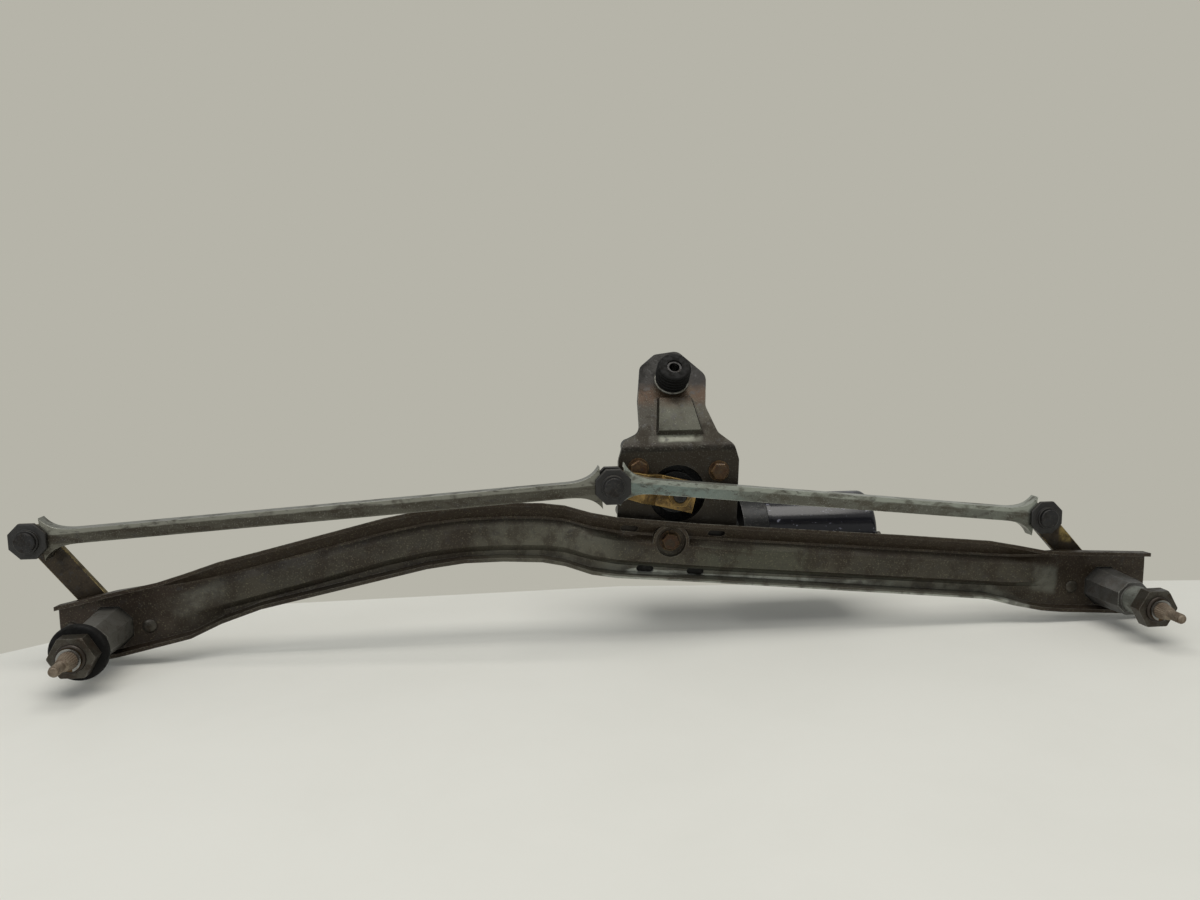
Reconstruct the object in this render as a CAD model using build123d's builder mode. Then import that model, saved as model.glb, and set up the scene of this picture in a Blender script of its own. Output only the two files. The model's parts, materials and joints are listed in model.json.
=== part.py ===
from build123d import *
from math import atan2, cos, degrees, hypot, pi, radians, sin, tan
import os

# Windscreen wiper motor with its linkage, in millimetres.
# The origin is on the left wiper spindle, at the shoulder that meets the cowl panel.
# X runs along the beam to the right spindle, Y points away from the viewer, Z is up.
# Y grows with depth, so the front face of a piece has the smaller Y.

# Running fits and stand-off between pieces that move past each other
running_gap = 0.04
link_gap = 0.05
body_gap = 0.3
thread_gap = 0.05

# Spindles, housings and their hub nuts
spindle_span = 625.5
spindle_places = (0.0, spindle_span)
spindle_r = 5.0
housing_flats = 21.0
housing_base_flats = 24.5
flange_thick = 4.0
flange_reach = 22.0
flange_r = 14.0
neck_r = 8.7
neck_length = 14.0
thread_r = 8.0
nut_flats = 22.0
nut_thick = 8.0
bush_r = 6.6
bush_length = 16.0
gasket_r = 15.8
gasket_thick = 5.0
cone_length = 7.0
cone_tip_r = 3.7
stud_r = 3.0
stud_length = 10.5
clip_gap = 0.2
clip_thick = 1.0
knurl_teeth = 24
rivet_r = 2.5
rivet_head_r = 4.2
rivet_tail_r = rivet_head_r - 0.4
rivet_head_thick = 1.4
thrust_washer_r = 9.0

# Depths along the spindle axis, from the shoulder towards the viewer
nut_back = -neck_length
nut_front = nut_back - nut_thick
hub_front = nut_front - 1.8
cone_back = hub_front - clip_gap - clip_thick - clip_gap
stud_root = cone_back - cone_length
stud_tip = stud_root - stud_length

# Beam, pressed from sheet as an open channel
sheet = 2.0
flange_edge = 1.2 * sheet
rib_height = 20.0
rib_slope = 4.0
rib_shoulder = 1.5
plate_front = 31.0
centre_front = plate_front + 3.0
arch_front = plate_front + 11.0
housing_back = plate_front + sheet
flange_back = housing_back + flange_thick
flange_depth = 6.0
rib_rise = 4.5
arch_rise = 3.0
flat_rise = 0.15
upper_band = 9.6
lower_band = 3.4
end_band = 2.8

# Spindle arms, behind the end plates
arm_front = flange_back + 2.0
arm_thick = 4.0
arm_width = 15.0
arm_hub_r = 11.0
left_arm_length = 68.0
left_arm_angle = 127.6
right_arm_length = 64.0
right_arm_angle = 132.2

# Motor shaft, crank and their place on the beam
shaft_x = 341.0
shaft_z = 69.3
shaft_r = 6.0
shaft_neck_r = shaft_r - 1.0
wheel_clip_thick = 1.2
crank_radius = 45.5
crank_angle = 166.0
crank_width = 15.0
crank_thick = 4.0
crank_hub_half = 9.7
crank_heel = 11.2
crank_hub_front = plate_front + 1.0
crank_rise = 8.0
crank_flat_r = 13.0
crank_slope = 9.0
crank_thread_r = 4.0
crank_nut_flats = 13.0
crank_nut_thick = 6.0

# Link rods, pressed as channels that open to the back, with a plastic bush at each end
pin_r = 4.5
pin_tail_r = pin_r - 0.5
pin_head_r = 6.0
pin_head_thick = 1.5
link_half = 4.4
link_sheet = 1.5
link_depth = 8.0
flare_half = 12.8
flare_start = 7.0
flare_length = 20.0
mouth_reach = 3.0
tongue_r = 9.4
link_flat = 22.0
block_flats = 21.0
block_thick = 2.5
ring_r = 7.0
ring_thick = 2.0
core_r = 7.9

# Motor bracket
bracket_thick = 3.0
bend_z = 98.0
ear_tilt = 40.0
bracket_left_foot = 20.5
bracket_right_foot = 14.0
bend_r = 7.0
ear_length = 80.0
bracket_front = centre_front + sheet
shaft_hole_r = 18.0
bolt_circle_r = 29.7
bolt_angles = (27.6, 146.0, 260.0)
bolt_r = 3.0
bolt_hole_r = bolt_r + 0.3
bolt_flats = 10.0
bolt_head = 4.0
bolt_washer_r = 6.5
bolt_washer_thick = 0.8
pocket_r = 9.5
bead_rise = 3.0

# Grommet on the ear of the bracket
grommet_x = 343.4
grommet_z = 137.9
grommet_r = 10.6
grommet_waist_r = 6.6
grommet_height = 14.0
grommet_back = 4.0
sleeve_r = 4.8
sleeve_bore_r = 3.3
cup_r = 11.4
cup_thick = 1.5

# Worm gear
module = 1.25
wheel_teeth = 44
worm_pitch_r = 7.5
worm_length = 25.0
worm_turns = 5
tooth_share = 0.40
addendum = 0.85 * module
dedendum = 1.15 * module
pressure_angle = 20.0
wheel_width = 9.0
wheel_pitch_r = module * wheel_teeth / 2
worm_lead = pi * module
worm_core_r = worm_pitch_r - dedendum + 0.02
wheel_hub_r = 12.0
wheel_recess_inner = wheel_hub_r + 2.0
wheel_recess_outer = wheel_pitch_r - dedendum - 3.0
park_disc_r = wheel_pitch_r - dedendum - 1.0
park_disc_bore = 14.0
park_disc_thick = 0.8
contact_inner = park_disc_bore + 2.0
contact_step = (park_disc_r - park_disc_bore - 4.0) / 2

# Gearbox and motor
motor_y = plate_front + 39.0
motor_z = shaft_z - wheel_pitch_r - worm_pitch_r
wheel_clearance = 0.9
pot_wall = 3.0
pot_r = wheel_pitch_r + addendum + wheel_clearance + pot_wall
pot_front = motor_y - 20.0
pot_back = motor_y + 16.0
boss_front = bracket_front + bracket_thick + 3.0
boss_back = motor_y - 7.0
boss_r = 13.0
wheel_hub_back = motor_y + 7.0
output_bush_r = 9.0
tunnel_r = 12.5
tunnel_bore_r = 9.0
tunnel_start = 312.0
collar_start = 386.7
can_start = 403.1
can_r = 26.8
can_wall = 1.8
can_end = 476.0
armature_r = 4.0
core_start = 428.0
core_end = 462.0
core_rim_r = 16.8
magnet_r = 17.5
slot_count = 8
commutator_r = 10.5
cover_thick = 2.5
cover_screw_angles = (45, 135, 215, 325)
lug_circle_r = pot_r + 1.5
lug_r = 5.0
cover_screw_r = 1.95
can_screw_places = (-22.0, 22.0)
can_screw_r = 1.95
can_screw_head_r = 3.6
bearing_seat_r = 8.4
commutator_start = 408.0
commutator_end = 420.0
brush_plate_start = 397.0
brush_plate_end = 400.0
shaft_start = 317.3
shaft_end = can_end + 3.0
thrust_seat = 314.0
thrust_r = 4.0
connector_left = 312.0
connector_z = 72.0
connector_y = pot_back + cover_thick + 8.0

near_side = -60.0
far_side = 120.0

os.makedirs("parts", exist_ok=True)


def save(piece, name):
    piece.label = name
    export_step(piece, f"parts/{name}.step")


def front_plane(x, z, y, angle=0.0):
    # Faces the viewer, so a sketch on it extrudes forwards from depth y
    turn = radians(angle)
    return Plane(origin=(x, y, z), x_dir=(cos(turn), 0, sin(turn)), z_dir=(0, -1, 0))


def depth_plane(x, z, angle=0.0):
    # Holds the direction of a bar and the depth, for profiles seen from above it
    turn = radians(angle)
    return Plane(origin=(x, 0, z), x_dir=(cos(turn), 0, sin(turn)), z_dir=(-sin(turn), 0, cos(turn)))


def motor_plane(x):
    # Across the motor axis, so a sketch on it extrudes to the right
    return Plane(origin=(x, motor_y, motor_z), x_dir=(0, 1, 0), z_dir=(1, 0, 0))


def polar(radius, angle):
    return radius * cos(radians(angle)), radius * sin(radians(angle))


def disc(x, z, front, back, radius, bore=0.0, mode=Mode.ADD):
    # Round piece on an axis that points at the viewer, inside the open part
    with BuildSketch(front_plane(x, z, back)) as ring:
        Circle(radius)
        if bore:
            Circle(bore, mode=Mode.SUBTRACT)
    extrude(ring.sketch, amount=back - front, mode=mode)


def drill(x, z, radius, front=near_side, back=far_side):
    disc(x, z, front, back, radius, mode=Mode.SUBTRACT)


def drum(start, end, radius, bore=0.0, mode=Mode.ADD):
    # Round piece on the motor axis, inside the open part
    with BuildSketch(motor_plane(start)) as ring:
        Circle(radius)
        if bore:
            Circle(bore, mode=Mode.SUBTRACT)
    extrude(ring.sketch, amount=end - start, mode=mode)


def bar(places, start, end, radius, mode=Mode.ADD):
    # Round bars or holes along the motor axis, one for each place beside it
    with BuildSketch(motor_plane(start)) as rounds:
        with Locations(*[(side, 0) for side in places]):
            Circle(radius)
    extrude(rounds.sketch, amount=end - start, mode=mode)


def cover_lugs():
    # Middles of the screw lugs around the rim of the gearbox
    middles = [polar(lug_circle_r, angle) for angle in cover_screw_angles]
    return [(shaft_x + x, shaft_z + z) for x, z in middles]


def bracket_bolt_places():
    middles = [polar(bolt_circle_r, angle) for angle in bolt_angles]
    return [(shaft_x + x, shaft_z + z) for x, z in middles]


def hexagon_prism(x, z, front, back, flats):
    with BuildSketch(front_plane(x, z, back)) as hexagon:
        RegularPolygon(flats / 2, 6, major_radius=False)
    extrude(hexagon.sketch, amount=back - front)


left_pin = polar(left_arm_length, left_arm_angle)
right_pin = (
    spindle_span + polar(right_arm_length, right_arm_angle)[0],
    polar(right_arm_length, right_arm_angle)[1],
)
crank_pin = (
    shaft_x + polar(crank_radius, crank_angle)[0],
    shaft_z + polar(crank_radius, crank_angle)[1],
)
crank_pin_front = crank_hub_front - crank_rise
outer_link_front = arm_front - body_gap - link_depth
right_link_front = crank_pin_front - body_gap - link_depth
left_link_front = right_link_front - block_thick - body_gap - link_depth
left_core_back = right_link_front - block_thick - ring_thick - body_gap
pin_head_back = left_link_front - block_thick - ring_thick - body_gap


# One row for each press station of the beam:
# place along X, upper edge, lower edge, web front, height of the upper band, rise of the rib
beam_stations = (
    (-28.5, 15.4, -21.8, plate_front, end_band, flat_rise),
    (5.0, 22.8, -16.6, plate_front, end_band, flat_rise),
    (30.0, 27.8, -11.0, plate_front, 4.0, flat_rise),
    (46.0, 32.2, -8.0, plate_front + 2.5, 7.0, 2.0),
    (62.0, 36.4, -1.8, arch_front - 1.5, upper_band, arch_rise),
    (85.0, 41.5, 5.7, arch_front, upper_band, arch_rise),
    (125.0, 51.2, 14.0, arch_front, upper_band, arch_rise),
    (160.0, 59.6, 21.5, arch_front, upper_band, arch_rise),
    (185.0, 64.2, 26.8, arch_front, upper_band, arch_rise),
    (208.0, 66.4, 29.6, arch_front, upper_band, arch_rise),
    (232.0, 66.8, 29.8, arch_front, upper_band, arch_rise),
    (256.0, 66.0, 28.4, arch_front, upper_band, arch_rise),
    (270.0, 64.4, 25.8, arch_front - 1.5, upper_band, arch_rise),
    (286.0, 60.4, 21.2, centre_front + 1.0, upper_band, rib_rise),
    (302.0, 57.2, 18.7, centre_front, upper_band, rib_rise),
    (354.0, 51.4, 14.0, centre_front, upper_band, rib_rise),
    (484.0, 39.8, 1.2, centre_front, upper_band, rib_rise),
    (spindle_span - 81.5, 33.8, -5.0, centre_front, upper_band, rib_rise),
    (spindle_span - 63.5, 30.4, -9.8, centre_front - 1.0, 7.5, rib_rise),
    (spindle_span - 45.5, 26.8, -13.4, plate_front, 4.0, 2.5),
    (spindle_span - 31.5, 25.4, -15.0, plate_front, end_band, flat_rise),
    (spindle_span + 28.5, 22.2, -18.9, plate_front, end_band, flat_rise),
)


def beam_section(top, bottom, web, band, rise):
    # Closed outline of the pressed sheet in the Y and Z of one station
    edge = web - flange_depth
    stretch = (web + sheet - edge) / (web - edge)
    rib_top = top - band - rib_shoulder
    rib_bottom = rib_top - rib_height
    face = [
        (web, top - band),
        (web, rib_top),
        (web - rise, rib_top - rib_slope),
        (web - rise, rib_bottom + rib_slope),
        (web, rib_bottom),
        (web, bottom + lower_band),
    ]
    upper_outer = top - (band - flange_edge) * stretch
    lower_outer = bottom + (lower_band - flange_edge) * stretch
    back = [(y + sheet, z) for y, z in face[1:-1]]
    outline = [(edge, top), (edge, top - flange_edge)] + face
    outline += [(edge, bottom + flange_edge), (edge, bottom), (web + sheet, lower_outer)]
    return outline + back[::-1] + [(web + sheet, upper_outer)]


def make_cross_beam():
    pocket_x, pocket_z = bracket_bolt_places()[-1]
    slots = ((365.0, 44.0), (352.0, 19.5), (310.0, 49.0), (320.0, 22.5))
    with BuildPart() as cross_beam:
        for x, top, bottom, web, band, rise in beam_stations:
            with BuildSketch(Plane.YZ.offset(x)):
                with BuildLine():
                    Polyline(*beam_section(top, bottom, web, band, rise), close=True)
                make_face()
        loft(ruled=True)
        disc(pocket_x, pocket_z, centre_front - rib_rise, bracket_front, pocket_r + sheet)
        drill(pocket_x, pocket_z, pocket_r, back=centre_front)
        drill(pocket_x, pocket_z, bolt_hole_r)
        for x in spindle_places:
            with BuildSketch(front_plane(x, 0, housing_back + 1)):
                RegularPolygon(housing_base_flats / 2 + 0.4, 8, major_radius=False, rotation=22.5)
            extrude(amount=20, mode=Mode.SUBTRACT)
            for side in (-1, 1):
                drill(x + side * flange_reach, 0, rivet_r)
        for x, z in slots:
            with BuildSketch(front_plane(x, z, bracket_front + 0.01, -6)):
                SlotOverall(11, 4.2)
            extrude(amount=20, mode=Mode.SUBTRACT)
    save(cross_beam.part, "cross_beam")


def make_spindle_housing(x, name):
    with BuildPart() as housing:
        with BuildSketch(front_plane(x, 0, housing_back)):
            RegularPolygon(housing_base_flats / 2, 8, major_radius=False, rotation=22.5)
        with BuildSketch(front_plane(x, 0, 0)):
            RegularPolygon(housing_flats / 2, 8, major_radius=False, rotation=22.5)
        loft()
        with BuildSketch(front_plane(x, 0, flange_back)):
            SlotCenterToCenter(2 * flange_reach, 14)
            Circle(flange_r)
        extrude(amount=flange_thick)
        disc(x, 0, nut_back, 0, neck_r)
        disc(x, 0, hub_front, nut_back, thread_r)
        chamfer(faces().sort_by(Axis.Y)[0].edges(), 0.8)
        drill(x, 0, spindle_r + 0.6)
        for front in (hub_front, flange_back - bush_length):
            drill(x, 0, bush_r, front, front + bush_length)
        for side in (-1, 1):
            drill(x + side * flange_reach, 0, rivet_r)
    save(housing.part, name)


def make_spindle_bushes():
    with BuildPart() as bushes:
        for x in spindle_places:
            for front in (hub_front, flange_back - bush_length):
                disc(x, 0, front, front + bush_length, bush_r, spindle_r + running_gap)
    save(bushes.part, "spindle_bushes")


def make_housing_rivets():
    seat = plate_front - flat_rise
    with BuildPart() as rivets:
        for x in spindle_places:
            for side in (-flange_reach, flange_reach):
                disc(x + side, 0, seat, flange_back, rivet_r)
                disc(x + side, 0, seat - rivet_head_thick, seat, rivet_head_r)
                disc(x + side, 0, flange_back, flange_back + rivet_head_thick, rivet_tail_r)
        ends = rivets.faces().filter_by(Axis.Y).group_by(Axis.Y)
        chamfer(ends[0].edges() + ends[-1].edges(), 0.8)
    save(rivets.part, "housing_rivets")


def make_hub_nuts():
    with BuildPart() as nut:
        hexagon_prism(0, 0, nut_front, nut_back, nut_flats)
        with BuildSketch(front_plane(0, 0, nut_back)):
            Circle(nut_flats / 2 / cos(radians(30)) + 0.6)
        extrude(amount=nut_thick, taper=6, mode=Mode.INTERSECT)
        drill(0, 0, thread_r + thread_gap)
        chamfer(edges().filter_by(GeomType.CIRCLE).sort_by(Axis.Y)[0], 0.7)
    with BuildPart() as hub_nuts:
        with Locations(*[(x, 0, 0) for x in spindle_places]):
            add(nut.part)
    save(hub_nuts.part, "hub_nuts")


def make_left_gasket():
    with BuildPart() as gasket:
        disc(0, 0, nut_back, nut_back + gasket_thick, gasket_r, neck_r + 0.05)
        chamfer(edges().filter_by(GeomType.CIRCLE).sort_by(SortBy.RADIUS)[-2:], 1.0)
    save(gasket.part, "left_hub_gasket")


def star(teeth, outer, inner):
    step = 180 / teeth
    return [polar(outer if turn % 2 == 0 else inner, turn * step) for turn in range(2 * teeth)]


def make_spindle(x, name):
    with BuildPart() as spindle:
        disc(x, 0, cone_back, arm_front + arm_thick, spindle_r)
        for depth, tip in ((cone_back, spindle_r + 0.2), (stud_root, cone_tip_r)):
            with BuildSketch(front_plane(x, 0, depth)):
                Polygon(*star(knurl_teeth, tip, tip - 0.35), align=None)
        loft(ruled=True)
        disc(x, 0, stud_tip, stud_root, stud_r)
        chamfer(faces().sort_by(Axis.Y)[0].edges(), 0.7)
        groove = cone_back + clip_gap
        disc(x, 0, groove, groove + clip_thick, spindle_r + 1, spindle_r - 0.5, mode=Mode.SUBTRACT)
    save(spindle.part, name)


def make_spindle_circlip(x, name):
    groove = cone_back + clip_gap
    with BuildPart() as circlip:
        disc(x, 0, groove, groove + clip_thick, spindle_r + 1.4, spindle_r - 0.5)
        with BuildSketch(front_plane(x, 0, groove + clip_thick)):
            with Locations((0, -spindle_r)):
                Rectangle(3.5, 6)
        extrude(amount=clip_thick, mode=Mode.SUBTRACT)
    save(circlip.part, name)


def make_thrust_washer(x, name):
    with BuildPart() as washer:
        disc(x, 0, flange_back + body_gap, arm_front, thrust_washer_r, spindle_r)
    save(washer.part, name)


def make_arm(x, length, angle, name):
    with BuildPart() as arm:
        with BuildSketch(front_plane(x, 0, arm_front + arm_thick, angle)):
            with Locations((length / 2, 0)):
                SlotCenterToCenter(length, arm_width)
            Circle(arm_hub_r)
        extrude(amount=arm_thick)
        chamfer(faces().filter_by(Axis.Y).edges(), 0.4)
        drill(x, 0, spindle_r)
        pin_x, pin_z = polar(length, angle)
        drill(x + pin_x, pin_z, pin_tail_r)
    save(arm.part, name)


def make_arm_rivet(pin, name):
    back = arm_front + arm_thick
    with BuildPart() as rivet:
        disc(pin[0], pin[1], arm_front, back, pin_tail_r)
        disc(pin[0], pin[1], back, back + 1.8, pin_head_r)
        chamfer(faces().sort_by(Axis.Y)[-1].edges(), 1.0)
    save(rivet.part, name)


def link_outline(length, half, flare, mouth):
    # Dogbone outline from the crank end to the arm end, symmetric about both axes
    mid = length / 2
    with BuildSketch() as outline:
        with BuildLine():
            start = (flare_start - mouth, flare)
            waist = (flare_start + flare_length, half)
            upper = Spline(start, waist, tangents=((0.62, -1.0), (1, 0)), tangent_scalars=(1, 1.4))
            Polyline(upper @ 1, (mid, half), (mid, 0), (flare_start - mouth, 0), upper @ 0)
        make_face()
        mirror(about=Plane.XZ)
        mirror(about=Plane.YZ.offset(mid))
    return outline.sketch


def depth_band(length, near, far, front, back):
    # Band seen from above: flat at both ends and sloping between them
    with BuildSketch() as band:
        with BuildLine():
            Polyline(
                (-20, near + front),
                (link_flat, near + front),
                (length - link_flat, far + front),
                (length + 20, far + front),
                (length + 20, far + back),
                (length - link_flat, far + back),
                (link_flat, near + back),
                (-20, near + back),
                close=True,
            )
        make_face()
    return band.sketch


def make_link_rod(outer, near_front, name):
    run = (outer[0] - crank_pin[0], outer[1] - crank_pin[1])
    length = hypot(*run)
    angle = degrees(atan2(run[1], run[0]))
    face = front_plane(crank_pin[0], crank_pin[1], 0, angle)
    above = depth_plane(crank_pin[0], crank_pin[1], angle)
    inner_half = link_half - link_sheet
    inner_flare = flare_half - link_sheet
    with BuildPart() as hollow:
        with BuildSketch(face):
            add(link_outline(length, inner_half, inner_flare, 1.0))
            for x in (-mouth_reach, length + mouth_reach):
                with Locations((x, 0)):
                    Rectangle(2 * (flare_start + mouth_reach), 2 * flare_half + 4)
        extrude(amount=far_side, both=True)
        with BuildSketch(above):
            add(depth_band(length, near_front, outer_link_front, link_sheet, link_depth + 5))
        extrude(amount=30, both=True, mode=Mode.INTERSECT)
    with BuildPart() as rod:
        with BuildSketch(face):
            add(link_outline(length, link_half, flare_half, 0.0))
            for x in (0, length):
                with Locations((x, 0)):
                    Circle(tongue_r)
        extrude(amount=far_side, both=True)
        with BuildSketch(above):
            add(depth_band(length, near_front, outer_link_front, 0, link_depth))
        extrude(amount=30, both=True, mode=Mode.INTERSECT)
        add(hollow.part, mode=Mode.SUBTRACT)
        for pin in (crank_pin, outer):
            drill(pin[0], pin[1], core_r)
    save(rod.part, name)


def make_link_bush(pin, front, back, name):
    block_front = front - block_thick
    with BuildPart() as bush:
        with BuildSketch(front_plane(pin[0], pin[1], front)):
            RegularPolygon(block_flats / 2, 8, major_radius=False, rotation=22.5)
        extrude(amount=block_thick)
        chamfer(faces().sort_by(Axis.Y)[0].edges(), 0.5)
        disc(pin[0], pin[1], block_front - ring_thick, block_front, ring_r)
        disc(pin[0], pin[1], front, back, core_r)
        drill(pin[0], pin[1], pin_r + link_gap)
    save(bush.part, name)


def make_pin(pin, head_back, back, name, tail=0.0):
    with BuildPart() as stud:
        disc(pin[0], pin[1], head_back, back, pin_r)
        disc(pin[0], pin[1], head_back - pin_head_thick, head_back, pin_head_r)
        chamfer(faces().sort_by(Axis.Y)[0].edges(), 0.6)
        if tail:
            disc(pin[0], pin[1], back, back + tail, pin_tail_r)
    save(stud.part, name)


def make_crank():
    face = front_plane(shaft_x, shaft_z, 0, crank_angle)
    above = depth_plane(shaft_x, shaft_z, crank_angle)
    hub = crank_hub_front
    tip = crank_pin_front
    slope_end = crank_flat_r + crank_slope
    with BuildPart() as crank:
        with BuildSketch(face):
            Polygon(
                (-crank_heel, -crank_hub_half),
                (crank_flat_r, -crank_hub_half),
                (crank_radius, -crank_width / 2),
                (crank_radius, crank_width / 2),
                (crank_flat_r, crank_hub_half),
                (-crank_heel, crank_hub_half),
                align=None,
            )
            with Locations((crank_radius, 0)):
                Circle(crank_width / 2)
        extrude(amount=far_side, both=True)
        with BuildSketch(above):
            with BuildLine():
                Polyline(
                    (-20, hub),
                    (crank_flat_r, hub),
                    (slope_end, tip),
                    (crank_radius + 20, tip),
                    (crank_radius + 20, tip + crank_thick),
                    (slope_end + 1.5, tip + crank_thick),
                    (crank_flat_r + 1.5, hub + crank_thick),
                    (-20, hub + crank_thick),
                    close=True,
                )
            make_face()
        extrude(amount=30, both=True, mode=Mode.INTERSECT)
        drill(shaft_x, shaft_z, shaft_neck_r)
        drill(crank_pin[0], crank_pin[1], pin_tail_r)
    save(crank.part, "motor_crank")


def make_crank_nut():
    front = crank_hub_front - crank_nut_thick
    with BuildPart() as nut:
        hexagon_prism(shaft_x, shaft_z, front, crank_hub_front, crank_nut_flats)
        drill(shaft_x, shaft_z, crank_thread_r + thread_gap)
        chamfer(edges().filter_by(GeomType.CIRCLE).sort_by(Axis.Y)[0], 0.5)
    save(nut.part, "crank_nut")


def make_output_shaft():
    hub = crank_hub_front
    with BuildPart() as shaft:
        disc(shaft_x, shaft_z, hub + crank_thick, wheel_hub_back + 4, shaft_r)
        disc(shaft_x, shaft_z, hub, hub + crank_thick, shaft_neck_r)
        disc(shaft_x, shaft_z, hub - crank_nut_thick - 0.6, hub, crank_thread_r)
        chamfer(faces().sort_by(Axis.Y)[0].edges(), 0.6)
        groove = wheel_hub_back + clip_gap
        clip_back = groove + wheel_clip_thick
        disc(shaft_x, shaft_z, groove, clip_back, shaft_r + 1, shaft_r - 0.6, mode=Mode.SUBTRACT)
    save(shaft.part, "output_shaft")


def make_wheel_circlip():
    groove = wheel_hub_back + clip_gap
    clip_back = groove + wheel_clip_thick
    with BuildPart() as circlip:
        disc(shaft_x, shaft_z, groove, clip_back, shaft_r + 1.6, shaft_r - 0.6)
        with BuildSketch(front_plane(shaft_x, shaft_z, clip_back)):
            with Locations((0, shaft_r)):
                Rectangle(4, 7)
        extrude(amount=wheel_clip_thick, mode=Mode.SUBTRACT)
    save(circlip.part, "wheel_circlip")


def wheel_outline(turn):
    # Outline of the whole toothed rim, with one tooth pointing straight down at turn zero
    step = 360 / wheel_teeth
    half = tooth_share * step / 2
    spread = degrees(tan(radians(pressure_angle)) / wheel_pitch_r)
    tip_r = wheel_pitch_r + addendum
    root_r = wheel_pitch_r - dedendum
    outline = []
    for tooth in range(wheel_teeth):
        middle = -90 - turn + tooth * step
        root_half = half + spread * dedendum
        tip_half = half - spread * addendum
        outline += [
            polar(root_r, middle - root_half),
            polar(tip_r, middle - tip_half),
            polar(tip_r, middle + tip_half),
            polar(root_r, middle + root_half),
        ]
    return outline


def make_worm_wheel():
    front = motor_y - wheel_width / 2
    back = motor_y + wheel_width / 2
    slant = degrees(worm_lead / (2 * pi * worm_pitch_r) * wheel_width / 2 / wheel_pitch_r)
    with BuildPart() as wheel:
        for depth, turn in ((back, slant), (front, -slant)):
            with BuildSketch(front_plane(shaft_x, shaft_z, depth)):
                Polygon(*wheel_outline(turn), align=None)
        loft(ruled=True)
        recess = (wheel_recess_outer, wheel_recess_inner)
        disc(shaft_x, shaft_z, front - 1, front + 2.5, *recess, mode=Mode.SUBTRACT)
        disc(shaft_x, shaft_z, boss_back + body_gap, wheel_hub_back, wheel_hub_r)
        drill(shaft_x, shaft_z, shaft_r)
    save(wheel.part, "worm_wheel")


def make_park_disc():
    front = motor_y + wheel_width / 2
    with BuildPart() as park_disc:
        disc(shaft_x, shaft_z, front, front + park_disc_thick, park_disc_r, park_disc_bore)
        with BuildSketch(front_plane(shaft_x, shaft_z, front + park_disc_thick, 115)):
            with Locations((park_disc_r - 2, 0)):
                Rectangle(8, 9)
        extrude(amount=park_disc_thick, mode=Mode.SUBTRACT)
    save(park_disc.part, "park_disc")


def make_worm():
    # Right-hand worm about Z, its thread starting on the X axis
    root_r = worm_pitch_r - dedendum
    half = tooth_share * worm_lead / 2
    lean = tan(radians(pressure_angle))
    base = half + lean * dedendum
    crest = half - lean * addendum
    depth = addendum + dedendum
    sink = 0.3
    with BuildPart() as worm:
        with BuildLine():
            path = Helix(pitch=worm_lead, height=worm_turns * worm_lead, radius=root_r)
        with BuildSketch(Plane.XZ.shift_origin((root_r, 0, 0))):
            Polygon(
                (-sink, -base),
                (0, -base),
                (depth, -crest),
                (depth, crest),
                (0, base),
                (-sink, base),
                align=None,
            )
        sweep(path=path, is_frenet=True)
        with BuildSketch(Plane.XY.offset((worm_turns * worm_lead - worm_length) / 2)):
            Circle(worm_core_r)
        extrude(amount=worm_length)
    return worm.part


def make_armature_shaft():
    # The thread crosses the side that faces the wheel half a lead beside a tooth
    middle_turn = worm_turns / 2 + (0.5 if worm_turns % 2 == 0 else 0)
    start = (shaft_x - middle_turn * worm_lead, motor_y, motor_z)
    worm_frame = Plane(origin=start, x_dir=(0, 0, 1), z_dir=(1, 0, 0))
    with BuildPart() as armature_shaft:
        drum(shaft_start, shaft_end, armature_r)
        add(make_worm().moved(worm_frame.location))
    save(armature_shaft.part, "armature_shaft")


def make_armature_core():
    with BuildPart() as core:
        drum(core_start, core_end, core_rim_r, armature_r)
        with BuildSketch(motor_plane(core_start)):
            with PolarLocations(core_rim_r - 4, slot_count):
                Rectangle(7, 3.6)
            with PolarLocations(core_rim_r, slot_count):
                Rectangle(6, 1.6)
        extrude(amount=core_end - core_start, mode=Mode.SUBTRACT)
    save(core.part, "armature_core")


def make_armature_windings():
    with BuildPart() as windings:
        for start in (core_start - 6, core_end):
            drum(start, start + 6, core_rim_r - 1.2, armature_r + 2)
        with BuildSketch(motor_plane(core_start)):
            with PolarLocations(core_rim_r - 4, slot_count):
                Rectangle(6.6, 3.2)
        extrude(amount=core_end - core_start)
    save(windings.part, "armature_windings")


def make_commutator():
    with BuildPart() as commutator:
        drum(commutator_start, commutator_end, commutator_r, armature_r)
        with BuildSketch(motor_plane(commutator_start)):
            with PolarLocations(commutator_r, slot_count):
                Rectangle(4, 0.7)
        extrude(amount=commutator_end - commutator_start, mode=Mode.SUBTRACT)
    save(commutator.part, "commutator")


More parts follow.
